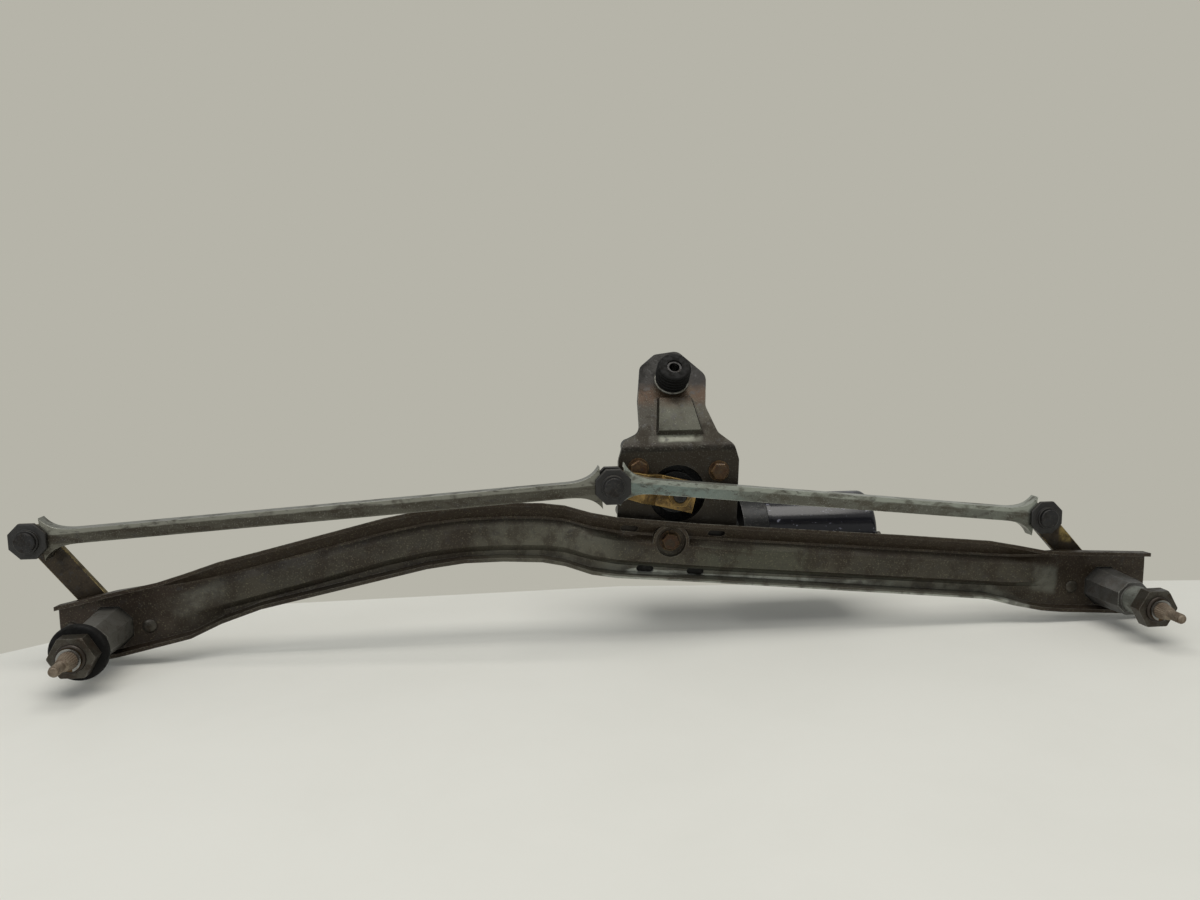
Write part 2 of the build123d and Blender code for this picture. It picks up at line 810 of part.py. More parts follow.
def make_gearbox_housing():
    with BuildPart() as housing:
        disc(shaft_x, shaft_z, pot_front, pot_back, pot_r)
        drum(tunnel_start, collar_start, tunnel_r)
        drum(collar_start, can_start, can_r)
        for x, z in cover_lugs():
            disc(x, z, pot_back - 22, pot_back, lug_r)
        with BuildSketch(Plane(origin=(0, motor_y, 0), x_dir=(1, 0, 0), z_dir=(0, -1, 0))):
            Polygon(
                (collar_start - 20, motor_z - 8),
                (collar_start, motor_z - 24),
                (collar_start, motor_z + 24),
                (collar_start - 20, motor_z + 27),
                align=None,
            )
        extrude(amount=2, both=True)
        disc(shaft_x, shaft_z, pot_front + pot_wall, pot_back, pot_r - pot_wall, mode=Mode.SUBTRACT)
        disc(shaft_x, shaft_z, boss_front, boss_back, boss_r)
        for x, z in bracket_bolt_places():
            disc(x, z, bracket_front + bracket_thick, pot_front + 0.5, bolt_washer_r)
            drill(x, z, bolt_r, back=pot_front - 1)
        for x, z in cover_lugs():
            drill(x, z, cover_screw_r + thread_gap, pot_back - 14, pot_back)
        drill(shaft_x, shaft_z, output_bush_r, back=boss_back)
        drum(tunnel_start - 10, thrust_seat + 2, thrust_r, mode=Mode.SUBTRACT)
        drum(thrust_seat + 2, collar_start + 6, tunnel_bore_r, mode=Mode.SUBTRACT)
        drum(collar_start + 6, can_start + 5, can_r - 2.1, mode=Mode.SUBTRACT)
        bar(can_screw_places, collar_start, collar_start + 10, can_screw_r + thread_gap, Mode.SUBTRACT)
    save(housing.part, "gearbox_housing")


def make_gearbox_cover():
    outside = pot_back + cover_thick
    with BuildPart() as cover:
        disc(shaft_x, shaft_z, pot_back, outside, pot_r)
        for x, z in cover_lugs():
            disc(x, z, pot_back, outside, lug_r)
        for x, z in cover_lugs():
            drill(x, z, cover_screw_r + thread_gap)
    save(cover.part, "gearbox_cover")


def make_cover_screws():
    outside = pot_back + cover_thick
    with BuildPart() as screws:
        for x, z in cover_lugs():
            disc(x, z, pot_back - 12, outside, cover_screw_r)
            disc(x, z, outside, outside + 2.4, 2 * cover_screw_r)
        chamfer(screws.faces().sort_by(Axis.Y).group_by(Axis.Y)[-1].edges(), 0.6)
    save(screws.part, "cover_screws")


def make_bearings():
    with BuildPart() as output_bush:
        disc(shaft_x, shaft_z, boss_front + 1.5, boss_back - 1, output_bush_r, shaft_r + running_gap)
    save(output_bush.part, "output_bush")
    with BuildPart() as drive_bearing:
        drum(collar_start - 8, collar_start + 4, tunnel_bore_r, armature_r + running_gap)
    save(drive_bearing.part, "drive_bearing")
    with BuildPart() as rear_bearing:
        drum(can_end - 4.5, can_end + 3.4, bearing_seat_r, armature_r + running_gap)
    save(rear_bearing.part, "rear_bearing")


def make_thrust_stop():
    screw_start = tunnel_start - 3
    with BuildPart() as thrust_pad:
        drum(thrust_seat, shaft_start - body_gap, thrust_r - 0.1)
    save(thrust_pad.part, "thrust_pad")
    with BuildPart() as thrust_screw:
        drum(screw_start, thrust_seat, thrust_r)
        chamfer(faces().sort_by(Axis.X)[0].edges(), 0.5)
        with BuildSketch(motor_plane(screw_start)):
            Rectangle(1.2, 9)
        extrude(amount=1.4, mode=Mode.SUBTRACT)
    save(thrust_screw.part, "thrust_screw")


def make_motor_can():
    with BuildPart() as can:
        drum(can_start, can_end, can_r)
        fillet(faces().sort_by(Axis.X)[-1].edges(), 4.5)
        drum(can_end, can_end + 5, bearing_seat_r + can_wall)
        chamfer(faces().sort_by(Axis.X)[-1].edges(), 1.0)
        drum(can_start, can_start + 2.5, can_r + 0.9)
        drum(can_start, can_end - can_wall, can_r - can_wall, mode=Mode.SUBTRACT)
        drum(can_end - 8, can_end + 3.4, bearing_seat_r, mode=Mode.SUBTRACT)
        bar(can_screw_places, can_start, can_end + 5, can_screw_r + 0.15, Mode.SUBTRACT)
    save(can.part, "motor_can")


def make_can_screws():
    with BuildPart() as screws:
        bar(can_screw_places, collar_start + 0.5, can_end, can_screw_r)
        bar(can_screw_places, can_end, can_end + 2.4, can_screw_head_r)
    save(screws.part, "can_screws")


def make_field_magnets():
    for name, middle in (("upper_magnet", 90), ("lower_magnet", 270)):
        with BuildPart() as magnet:
            with BuildSketch(motor_plane(core_start - 3)):
                with BuildLine():
                    edge = CenterArc((0, 0), can_r - can_wall - 0.02, middle - 55, 110)
                    inner = CenterArc((0, 0), magnet_r, middle - 55, 110)
                    Line(edge @ 0, inner @ 0)
                    Line(edge @ 1, inner @ 1)
                make_face()
            extrude(amount=core_end - core_start + 6)
        save(magnet.part, name)


def make_brush_gear():
    brush_start = commutator_start + 2
    brush_wide = 6.4
    brush_long = 9.2
    holder_middle = can_r - 9.2
    with BuildPart() as brush_plate:
        drum(brush_plate_start, brush_plate_end, can_r - 2.2, commutator_r + 2)
        with BuildSketch(motor_plane(brush_plate_end)):
            with Locations((0, -holder_middle), (0, holder_middle)):
                Rectangle(brush_wide + 4.2, 12.6)
                Rectangle(brush_wide + 0.2, 13, mode=Mode.SUBTRACT)
        extrude(amount=18)
        bar(can_screw_places, brush_plate_start, brush_plate_end, can_screw_r + 0.15, Mode.SUBTRACT)
    save(brush_plate.part, "brush_plate")
    with BuildPart() as brushes:
        reach = commutator_r + body_gap + brush_long / 2
        with BuildSketch(motor_plane(brush_start)):
            with Locations((0, -reach), (0, reach)):
                Rectangle(brush_wide, brush_long)
        extrude(amount=7)
    save(brushes.part, "carbon_brushes")
    with BuildPart() as springs:
        for side in (-1, 1):
            seat = motor_z + side * (reach + brush_long / 2)
            with BuildSketch(Plane(origin=(brush_start + 3.5, motor_y, seat), z_dir=(0, 0, side))):
                Circle(2.4)
                Circle(1.6, mode=Mode.SUBTRACT)
            extrude(amount=4.2)
    save(springs.part, "brush_springs")


def connector_plane(x):
    return Plane(origin=(x, connector_y, connector_z), x_dir=(0, 1, 0), z_dir=(1, 0, 0))


def make_connector():
    with BuildPart() as socket:
        with BuildSketch(connector_plane(connector_left)):
            RectangleRounded(16, 20, 2)
        extrude(amount=28)
        with BuildSketch(connector_plane(connector_left)):
            RectangleRounded(12.4, 16.4, 1)
        extrude(amount=14, mode=Mode.SUBTRACT)
    save(socket.part, "connector_socket")
    with BuildPart() as blades:
        with BuildSketch(connector_plane(connector_left + 6)):
            with GridLocations(6, 5, 2, 2):
                Rectangle(0.8, 2.8)
        extrude(amount=8)
    save(blades.part, "connector_blades")


def make_park_contacts():
    front = motor_y + wheel_width / 2 + park_disc_thick + body_gap
    with BuildPart() as contacts:
        for ring in range(3):
            with BuildSketch(Plane.XY.offset(shaft_z + contact_inner + ring * contact_step - 1)):
                Polygon(
                    (shaft_x, front),
                    (shaft_x + 0.9, front),
                    (shaft_x + 12, pot_back - 0.6),
                    (shaft_x + 16, pot_back - 0.6),
                    (shaft_x + 16, pot_back),
                    (shaft_x + 11, pot_back),
                    align=None,
                )
            extrude(amount=2)
    save(contacts.part, "park_contacts")


def bracket_outline():
    # Shoulders, waist and ear as seen from the front, from the lower left corner
    with BuildSketch() as outline:
        with BuildLine():
            Polyline(
                (302.0, bracket_left_foot),
                (304.2, 92.0),
                (307.5, 102.5),
                (318.6, 107.0),
                (319.6, 125.0),
                (324.0, 146.5),
                (335.0, 154.5),
                (350.5, 156.5),
                (367.0, 141.0),
                (363.2, 122.0),
                (368.5, 106.5),
                (377.5, 99.5),
                (380.4, 90.0),
                (377.8, bracket_right_foot),
                close=True,
            )
        make_face()
        fillet(outline.vertices().group_by(Axis.Y)[2:], 6)
    return outline.sketch


def ear_plane(lift=0.0):
    # Lies on the front face of the ear, centred on the grommet
    tilt = radians(ear_tilt)
    depth = bracket_front + (grommet_z - bend_z) * tan(tilt)
    middle = (grommet_x, depth - lift * cos(tilt), grommet_z + lift * sin(tilt))
    return Plane(origin=middle, x_dir=(1, 0, 0), z_dir=(0, -cos(tilt), sin(tilt)))


def make_motor_bracket():
    tilt = radians(ear_tilt)
    reach = (ear_length * sin(tilt), ear_length * cos(tilt))
    through = (bracket_thick * cos(tilt), -bracket_thick * sin(tilt))
    bend_back = bend_z - bracket_thick * tan(tilt / 2)
    with BuildPart() as bracket:
        with BuildSketch(front_plane(0, 0, far_side)):
            add(bracket_outline())
        extrude(amount=far_side)
        with BuildSketch(Plane.YZ.offset(250)) as side:
            with BuildLine():
                Polyline(
                    (bracket_front, 0),
                    (bracket_front, bend_z),
                    (bracket_front + reach[0], bend_z + reach[1]),
                    (bracket_front + reach[0] + through[0], bend_z + reach[1] + through[1]),
                    (bracket_front + bracket_thick, bend_back),
                    (bracket_front + bracket_thick, 0),
                    close=True,
                )
            make_face()
            fillet(side.vertices().group_by(Axis.Y)[1] + side.vertices().group_by(Axis.Y)[2], bend_r)
        extrude(amount=200, mode=Mode.INTERSECT)
        for lift, amount, inset, mode in ((0, bead_rise, 0, Mode.ADD), (-3, bead_rise, 3, Mode.SUBTRACT)):
            with BuildSketch(ear_plane(lift)):
                Polygon(
                    (-14.6 + inset, -42 + inset),
                    (15.6 - inset, -42 + inset),
                    (11.6 - inset, -14),
                    (-11.0 + inset, -14),
                    align=None,
                )
            extrude(amount=amount, taper=25, mode=mode)
        with BuildSketch(ear_plane(-10)):
            Circle(grommet_waist_r)
        extrude(amount=20, mode=Mode.SUBTRACT)
        drill(shaft_x, shaft_z, shaft_hole_r, back=pot_front)
        for x, z in bracket_bolt_places():
            drill(x, z, bolt_hole_r, back=pot_front)
    save(bracket.part, "motor_bracket")


def make_grommet():
    seat = cup_thick
    with BuildPart() as grommet:
        with BuildSketch(ear_plane(seat)):
            Circle(grommet_r)
        extrude(amount=grommet_height)
        chamfer(faces().sort_by(Axis.Z)[-1].edges(), 0.9)
        with BuildSketch(ear_plane(-bracket_thick)):
            Circle(grommet_waist_r)
        extrude(amount=bracket_thick + seat)
        with BuildSketch(ear_plane(-bracket_thick - grommet_back)):
            Circle(grommet_r + 0.6)
        extrude(amount=grommet_back)
        with BuildSketch(ear_plane(-20)):
            Circle(sleeve_r)
        extrude(amount=60, mode=Mode.SUBTRACT)
    save(grommet.part, "bracket_grommet")
    with BuildPart() as sleeve:
        with BuildSketch(ear_plane(-bracket_thick - grommet_back)):
            Circle(sleeve_r)
            Circle(sleeve_bore_r, mode=Mode.SUBTRACT)
        extrude(amount=bracket_thick + grommet_back + seat + grommet_height - 1.0)
    save(sleeve.part, "grommet_sleeve")
    with BuildPart() as cup:
        with BuildSketch(ear_plane(0)):
            Circle(cup_r)
            Circle(grommet_waist_r, mode=Mode.SUBTRACT)
        extrude(amount=cup_thick)
        chamfer(faces().sort_by(Axis.Z)[-1].edges().sort_by(Edge.length)[-1], 0.5)
    save(cup.part, "grommet_cup")


def make_motor_bolts():
    # The lowest bolt also goes through the beam, so its head sits further forwards
    places = bracket_bolt_places()
    with BuildPart() as bolts:
        for x, z in places:
            seat = centre_front if (x, z) == places[-1] else bracket_front
            head_back = seat - bolt_washer_thick
            disc(x, z, seat, pot_front - 2, bolt_r - thread_gap)
            disc(x, z, head_back, seat, bolt_washer_r)
            hexagon_prism(x, z, head_back - bolt_head, head_back, bolt_flats)
    save(bolts.part, "motor_bolts")


make_cross_beam()
make_motor_bracket()
make_grommet()
make_motor_bolts()
make_spindle_bushes()
make_housing_rivets()
make_hub_nuts()
for side_name, side_x in zip(("left", "right"), spindle_places):
    make_spindle_housing(side_x, f"{side_name}_spindle_housing")
    make_spindle(side_x, f"{side_name}_spindle")
    make_spindle_circlip(side_x, f"{side_name}_spindle_circlip")
    make_thrust_washer(side_x, f"{side_name}_thrust_washer")
make_left_gasket()
make_arm(0.0, left_arm_length, left_arm_angle, "left_spindle_arm")
make_arm(spindle_span, right_arm_length, right_arm_angle, "right_spindle_arm")
outer_back = arm_front - body_gap
outer_head = outer_link_front - block_thick - ring_thick - body_gap
for side_name, pin, near_front, near_back in (
    ("left", left_pin, left_link_front, left_core_back),
    ("right", right_pin, right_link_front, crank_pin_front - body_gap),
):
    make_arm_rivet(pin, f"{side_name}_arm_rivet")
    make_link_rod(pin, near_front, f"{side_name}_link_rod")
    make_link_bush(pin, outer_link_front, outer_back, f"{side_name}_outer_bush")
    make_link_bush(crank_pin, near_front, near_back, f"{side_name}_inner_bush")
    make_pin(pin, outer_head, outer_back, f"{side_name}_arm_pin")
make_crank()
make_crank_nut()
make_pin(crank_pin, pin_head_back, crank_pin_front, "crank_pin", crank_thick)
make_output_shaft()
make_wheel_circlip()
make_worm_wheel()
make_park_disc()
make_armature_shaft()
make_armature_core()
make_armature_windings()
make_commutator()
make_gearbox_housing()
make_gearbox_cover()
make_cover_screws()
make_bearings()
make_thrust_stop()
make_motor_can()
make_can_screws()
make_field_magnets()
make_brush_gear()
make_connector()
make_park_contacts()
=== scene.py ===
# Windscreen wiper motor and linkage: finishes, small fasteners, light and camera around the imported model
import json
import math

import bmesh
import bpy
from mathutils import Matrix, Vector


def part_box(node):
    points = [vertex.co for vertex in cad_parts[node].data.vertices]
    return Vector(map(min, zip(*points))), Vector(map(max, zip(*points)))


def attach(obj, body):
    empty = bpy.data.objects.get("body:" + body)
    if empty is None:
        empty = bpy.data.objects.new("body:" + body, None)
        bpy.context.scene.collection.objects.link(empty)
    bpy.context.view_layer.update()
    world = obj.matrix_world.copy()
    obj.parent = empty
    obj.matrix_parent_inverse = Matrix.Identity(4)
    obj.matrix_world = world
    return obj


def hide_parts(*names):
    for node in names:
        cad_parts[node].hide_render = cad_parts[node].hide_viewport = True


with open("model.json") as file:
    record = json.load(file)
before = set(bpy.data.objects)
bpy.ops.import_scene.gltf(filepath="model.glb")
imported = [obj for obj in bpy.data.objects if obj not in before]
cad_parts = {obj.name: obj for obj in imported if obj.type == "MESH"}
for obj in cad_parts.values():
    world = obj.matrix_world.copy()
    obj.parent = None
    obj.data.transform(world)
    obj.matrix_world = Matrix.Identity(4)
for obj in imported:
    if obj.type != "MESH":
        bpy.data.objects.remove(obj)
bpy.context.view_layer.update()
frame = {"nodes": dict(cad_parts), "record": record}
nodes = frame["nodes"]
record = frame["record"]
bodyOf = {node: body for body, members in record["behaviour"]["bodies"].items() for node in members}
slotOf = {part["node"]: part["material_slot"] for part in record["subparts"]}
mounts = {mount["name"]: mount for mount in record["mounts"]}
dressed = set()
sharpFrom = math.radians(32)  # arrises sharper than this are rounded
print("frame loaded:", len(nodes), "nodes")


def linear(code):
    # The hex code of a colour as linear values
    shares = [int(code[i : i + 2], 16) / 255 for i in (1, 3, 5)]
    return [s / 12.92 if s <= 0.04045 else ((s + 0.055) / 1.055) ** 2.4 for s in shares] + [1.0]


def addNode(tree, kind, settings=None, links=None):
    # Works in material and geometry trees. A number as key picks a socket by its place, and a node as the source
    # of a link stands for its first output
    node = tree.nodes.new(kind)
    for key, value in (settings or {}).items():
        if isinstance(key, int) or key in node.inputs:
            node.inputs[key].default_value = value
        else:
            setattr(node, key, value)
    for key, source in (links or {}).items():
        for each in source if isinstance(source, list) else [source]:
            tree.links.new(each.outputs[0] if isinstance(each, bpy.types.Node) else each, node.inputs[key])
    return node


def newObject(name, data):
    thing = bpy.data.objects.new(name, data)
    bpy.context.scene.collection.objects.link(thing)
    return thing


def newFinish(name):
    material = bpy.data.materials.new(name)
    material.use_nodes = True
    material.node_tree.nodes.clear()
    return material, material.node_tree


def stainMask(tree, place, size, low, high, detail=4.0, shift=0.0, stretch=(1, 1, 1)):
    # Soft-edged blotches about this many millimetres across, from 0 to 1
    moved = addNode(
        tree, "ShaderNodeMapping", {"Scale": stretch, "Location": (shift, shift * 0.7, -shift)}, {"Vector": place},
    )
    noise = addNode(
        tree, "ShaderNodeTexNoise", {"Scale": 1000 / size, "Detail": detail, "Roughness": 0.62, "Distortion": 0.3},
        {"Vector": moved},
    )
    return addNode(
        tree, "ShaderNodeMapRange", {"interpolation_type": "SMOOTHSTEP", "From Min": low, "From Max": high},
        {"Value": noise},
    )


def layOver(tree, under, mask, strength, over):
    # A film of another colour where the mask says so
    share = addNode(tree, "ShaderNodeMath", {"operation": "MULTIPLY", 1: strength}, {0: mask})
    mix = addNode(tree, "ShaderNodeMix", {"data_type": "RGBA", 7: linear(over)}, {0: share})
    if isinstance(under, str):
        mix.inputs[6].default_value = linear(under)
    else:
        tree.links.new(under, mix.inputs[6])
    return mix.outputs[2]


def rubbedArrises(tree, place, radius):
    # 1 on broken stretches of the arrises, where the plating has rubbed through
    rounded = addNode(tree, "ShaderNodeBevel", {"samples": 4, "Radius": radius / 1000})
    plain = addNode(tree, "ShaderNodeNewGeometry")
    lean = addNode(
        tree, "ShaderNodeVectorMath", {"operation": "DOT_PRODUCT"}, {0: rounded, 1: plain.outputs["Normal"]},
    )
    corner = addNode(
        tree, "ShaderNodeMapRange", {"From Min": 0.985, "From Max": 0.80}, {"Value": lean.outputs["Value"]}
    )
    broken = stainMask(tree, place, size=3.0, low=0.36, high=0.52, shift=5.2)
    return addNode(tree, "ShaderNodeMath", {"operation": "MULTIPLY"}, {0: corner, 1: broken})


def zoneMask(tree, place, zone):
    # A stretch of the piece, measured in millimetres along an axis, its normal or an attribute of its mesh
    if zone["by"] in "xyz":
        parts = addNode(tree, "ShaderNodeSeparateXYZ", {}, {0: place})
        value = addNode(
            tree, "ShaderNodeMath", {"operation": "MULTIPLY", 1: 1000.0}, {0: parts.outputs["xyz".index(zone["by"])]}
        )
    # By how far the normal points up: the zones that use it paint highlights on faces that point up
    elif zone["by"] == "upward":
        normal = addNode(tree, "ShaderNodeTexCoord").outputs["Normal"]
        value = addNode(tree, "ShaderNodeSeparateXYZ", {}, {0: normal}).outputs[2]
    else:
        value = addNode(tree, "ShaderNodeAttribute", {"attribute_name": zone["by"]}).outputs["Fac"]
    wander = addNode(
        tree, "ShaderNodeTexNoise", {"Scale": 1000 / zone.get("grain", 7.0), "Detail": 5.0}, {"Vector": place}
    )
    swing = zone.get("wander", 0.0)
    shifted = addNode(tree, "ShaderNodeMath", {"operation": "MULTIPLY_ADD", 1: 2 * swing}, {0: wander, 2: value})
    masks = []
    for edge, sign in ((zone["start"], 1), (zone["end"], -1)):
        limits = {"From Min": edge + swing - sign * zone["soft"], "From Max": edge + swing + sign * zone["soft"]}
        step = addNode(
            tree, "ShaderNodeMapRange", {"interpolation_type": "SMOOTHSTEP", **limits}, {"Value": shifted}
        )
        masks.append(step)
    inside = addNode(tree, "ShaderNodeMath", {"operation": "MULTIPLY"}, {0: masks[0], 1: masks[1]})
    if "within" not in zone:
        return inside
    also = zoneMask(tree, place, zone["within"])
    return addNode(tree, "ShaderNodeMath", {"operation": "MULTIPLY"}, {0: inside, 1: also})


def fineGrain(tree, place, look, settings):
    # The bump of the skin itself, under any dirt
    noise = {"Scale": 1000 / look["grain"], **settings}
    grain = addNode(tree, "ShaderNodeTexNoise", noise, {"Vector": place})
    depth = {"Strength": 0.5, "Distance": look["grainDepth"] / 1000}
    return addNode(tree, "ShaderNodeBump", depth, {"Height": grain})


def platedMetal(name, look):
    # Base metal in two shades, zones, rust film, grime, specks and rubbed arrises, one over the other
    material, tree = newFinish(name)
    place = addNode(tree, "ShaderNodeTexCoord").outputs["Object"]
    stretch = look.get("stretch", (1, 1, 1))
    patch = stainMask(tree, place, look["patch"], low=0.36, high=0.64, detail=5.0, shift=0.4, stretch=stretch)
    colour = layOver(tree, look["base"], patch, 1.0, look["second"])
    for zone in look.get("zones", ()):
        colour = layOver(tree, colour, zoneMask(tree, place, zone), zone["share"], zone["colour"])
    low = look["filmLow"]
    film = stainMask(tree, place, look["filmSize"], low, low + 0.16, detail=6.0, shift=1.3, stretch=stretch)
    colour = layOver(tree, colour, film, look["filmShare"], look["film"])
    low = look["grimeLow"]
    grime = stainMask(tree, place, look["grimeSize"], low, low + 0.12, detail=7.0, shift=2.9, stretch=stretch)
    colour = layOver(tree, colour, grime, look["grimeShare"], look["grime"])
    speck = stainMask(tree, place, look["speck"], low=0.58, high=0.66, detail=2.0, shift=4.1)
    colour = layOver(tree, colour, speck, look["speckShare"], look["speckColour"])
    rubbed = rubbedArrises(tree, place, look["edge"])
    colour = layOver(tree, colour, rubbed, look["edgeShare"], look["bright"])
    for zone in look.get("covers", ()):
        colour = layOver(tree, colour, zoneMask(tree, place, zone), zone["share"], zone["colour"])
    rough = addNode(
        tree, "ShaderNodeMapRange", {"To Min": look["rough"][0], "To Max": look["rough"][1]}, {"Value": film}
    )
    metal = addNode(
        tree, "ShaderNodeMapRange", {"To Min": look["metallic"], "To Max": look["metallic"] * 0.35}, {"Value": grime}
    )
    crust = addNode(tree, "ShaderNodeMath", {"operation": "MULTIPLY_ADD", 1: 0.6}, {0: grime, 2: speck})
    fine = fineGrain(tree, place, look, {"Detail": 3.0, "Roughness": 0.7})
    bump = addNode(
        tree, "ShaderNodeBump", {"Strength": 0.6, "Distance": look["relief"] / 1000},
        {"Height": crust, "Normal": fine},
    )
    shader = addNode(
        tree, "ShaderNodeBsdfPrincipled", {},
        {"Base Color": colour, "Roughness": rough, "Metallic": metal, "Normal": bump},
    )
    addNode(tree, "ShaderNodeOutputMaterial", {}, {"Surface": shader})
    return material


def mouldedPart(name, look):
    # Rubber, plastic and enamel: two shades, dust on what faces up, scuffs and a fine grain
    material, tree = newFinish(name)
    coordinates = addNode(tree, "ShaderNodeTexCoord")
    place = coordinates.outputs["Object"]
    patch = stainMask(tree, place, look["patch"], low=0.35, high=0.65)
    colour = layOver(tree, look["base"], patch, 1.0, look["second"])
    upward = addNode(tree, "ShaderNodeSeparateXYZ", {}, {0: coordinates.outputs["Normal"]})
    facing = addNode(tree, "ShaderNodeMapRange", {"From Min": 0.1, "From Max": 0.9}, {"Value": upward.outputs[2]})
    loose = stainMask(tree, place, look["dustSize"], low=0.42, high=0.62, detail=6.0, shift=3.0)
    dusty = addNode(tree, "ShaderNodeMath", {"operation": "MULTIPLY_ADD", 2: 0.06}, {0: facing, 1: loose})
    colour = layOver(tree, colour, dusty, look["dustShare"], look["dust"])
    if "scuff" in look:
        scuffs = stainMask(
            tree, place, look["scuffSize"], low=0.64, high=0.67, detail=3.0, shift=6.0, stretch=look["scuffStretch"],
        )
        colour = layOver(tree, colour, scuffs, look["scuffShare"], look["scuff"])
    rough = addNode(
        tree, "ShaderNodeMapRange", {"To Min": look["rough"][0], "To Max": look["rough"][1]}, {"Value": loose}
    )
    bump = fineGrain(tree, place, look, {"Detail": 4.0})
    shader = addNode(
        tree, "ShaderNodeBsdfPrincipled",
        {"IOR": look["ior"], "Coat Weight": look.get("coat", 0.0), "Coat Roughness": 0.12},
        {"Base Color": colour, "Roughness": rough, "Normal": bump},
    )
    addNode(tree, "ShaderNodeOutputMaterial", {}, {"Surface": shader})
    return material


def roundedCopy(node, radius, material, measure=None):
    # The node's own shape with its doubles merged, flats cleaned up and arrises rounded
    mesh = nodes[node].data.copy()
    mesh.name = node + "Mesh"
    shape = bmesh.new()
    shape.from_mesh(mesh)
    bmesh.ops.remove_doubles(shape, verts=shape.verts, dist=2e-6)
    bmesh.ops.dissolve_limit(
        shape, angle_limit=math.radians(0.6), verts=shape.verts, edges=shape.edges, delimit={"NORMAL"}
    )
    shape.to_mesh(mesh)
    shape.free()
    if measure:
        measure(mesh)
    piece = newObject(node + "Dressed", mesh)
    mesh.materials.clear()
    mesh.materials.append(material)
    mesh.shade_smooth()
    mesh.set_sharp_from_angle(angle=sharpFrom)
    bevel = piece.modifiers.new("roundedArrises", "BEVEL")
    bevel.width = radius / 1000
    bevel.segments = 2
    bevel.limit_method = "ANGLE"
    bevel.angle_limit = sharpFrom
    bevel.harden_normals = True
    bevel.miter_outer = "MITER_ARC"
    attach(piece, bodyOf[node])
    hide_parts(node)
    dressed.add(node)


def keepNode(node, material):
    # The CAD shape is right as it is and only gets its finish
    nodes[node].data.materials.clear()
    nodes[node].data.materials.append(material)
    dressed.add(node)


def newTree(name, sizes):
    # A geometry tree whose sizes are named inputs in metres
    tree = bpy.data.node_groups.new(name, "GeometryNodeTree")
    tree.interface.new_socket("Geometry", in_out="INPUT", socket_type="NodeSocketGeometry")
    for size in sizes:
        tree.interface.new_socket(size, in_out="INPUT", socket_type="NodeSocketFloat")
    tree.interface.new_socket("Finish", in_out="INPUT", socket_type="NodeSocketMaterial")
    tree.interface.new_socket("Geometry", in_out="OUTPUT", socket_type="NodeSocketGeometry")
    return tree, addNode(tree, "NodeGroupInput").outputs


def closeTree(tree, sizes, shape, tilt=0.0, spin=0.0, seed=0):
    # The shape, tilted and spun at random, on each point, ending with the two nodes that the export needs
    if tilt:
        shape = addNode(tree, "GeometryNodeTransform", {"Rotation": (tilt, 0, 0)}, {"Geometry": shape})
    links = {"Points": sizes["Geometry"], "Instance": shape}
    if spin:
        spread = {"data_type": "FLOAT_VECTOR", 0: (0, -spin, 0), 1: (0, spin, 0), "Seed": seed}
        links["Rotation"] = addNode(tree, "FunctionNodeRandomValue", spread)
    placed = addNode(tree, "GeometryNodeInstanceOnPoints", {}, links)
    real = addNode(tree, "GeometryNodeRealizeInstances", {}, {0: placed})
    coated = addNode(tree, "GeometryNodeSetMaterial", {}, {"Geometry": real, "Material": sizes["Finish"]})
    addNode(tree, "NodeGroupOutput", {}, {0: coated})
    return tree


def turned(tree, bottom, top, depth, sides, lift=None):
    # A cylinder or cone that stands this far up its own axis
    radii = {"Radius Bottom": bottom, "Radius Top": top, "Depth": depth}
    shape = addNode(tree, "GeometryNodeMeshCone", {"Vertices": sides}, radii)
    if lift is None:
        return shape
    rise = addNode(tree, "ShaderNodeCombineXYZ", {}, {2: lift})
    return addNode(tree, "GeometryNodeTransform", {}, {"Geometry": shape, "Translation": rise})


def hangingShank(tree, sizes):
    # A plain shank below the head
    down = addNode(tree, "ShaderNodeMath", {"operation": "MULTIPLY", 1: -1.0}, {0: sizes["Shank Length"]})
    return turned(tree, sizes["Shank Radius"], sizes["Shank Radius"], sizes["Shank Length"], sides=24, lift=down)


def growOn(name, places, tree, sizes, finish, body, node=None, smoothAngle=35):
    # Runs a tree on a few points and keeps the result as a plain mesh
    seedMesh = bpy.data.meshes.new(name + "Points")
    seedMesh.from_pydata([Vector(place) / 1000 for place in places], [], [])
    piece = newObject(name, seedMesh)
    grower = piece.modifiers.new("grower", "NODES")
    grower.node_group = tree
    for item in tree.interface.items_tree:
        if item.item_type == "SOCKET" and item.in_out == "INPUT":
            if item.name in sizes:
                grower[item.identifier] = sizes[item.name] / 1000
            elif item.name == "Finish":
                grower[item.identifier] = finish
    graph = bpy.context.evaluated_depsgraph_get()
    solid = bpy.data.meshes.new_from_object(piece.evaluated_get(graph), depsgraph=graph)
    solid.name = name + "Mesh"
    piece.modifiers.clear()
    piece.data = solid
    solid.shade_smooth()
    solid.set_sharp_from_angle(angle=math.radians(smoothAngle))
    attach(piece, body)
    if node:
        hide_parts(node)
        dressed.add(node)
    print(name, "faces:", len(solid.polygons))


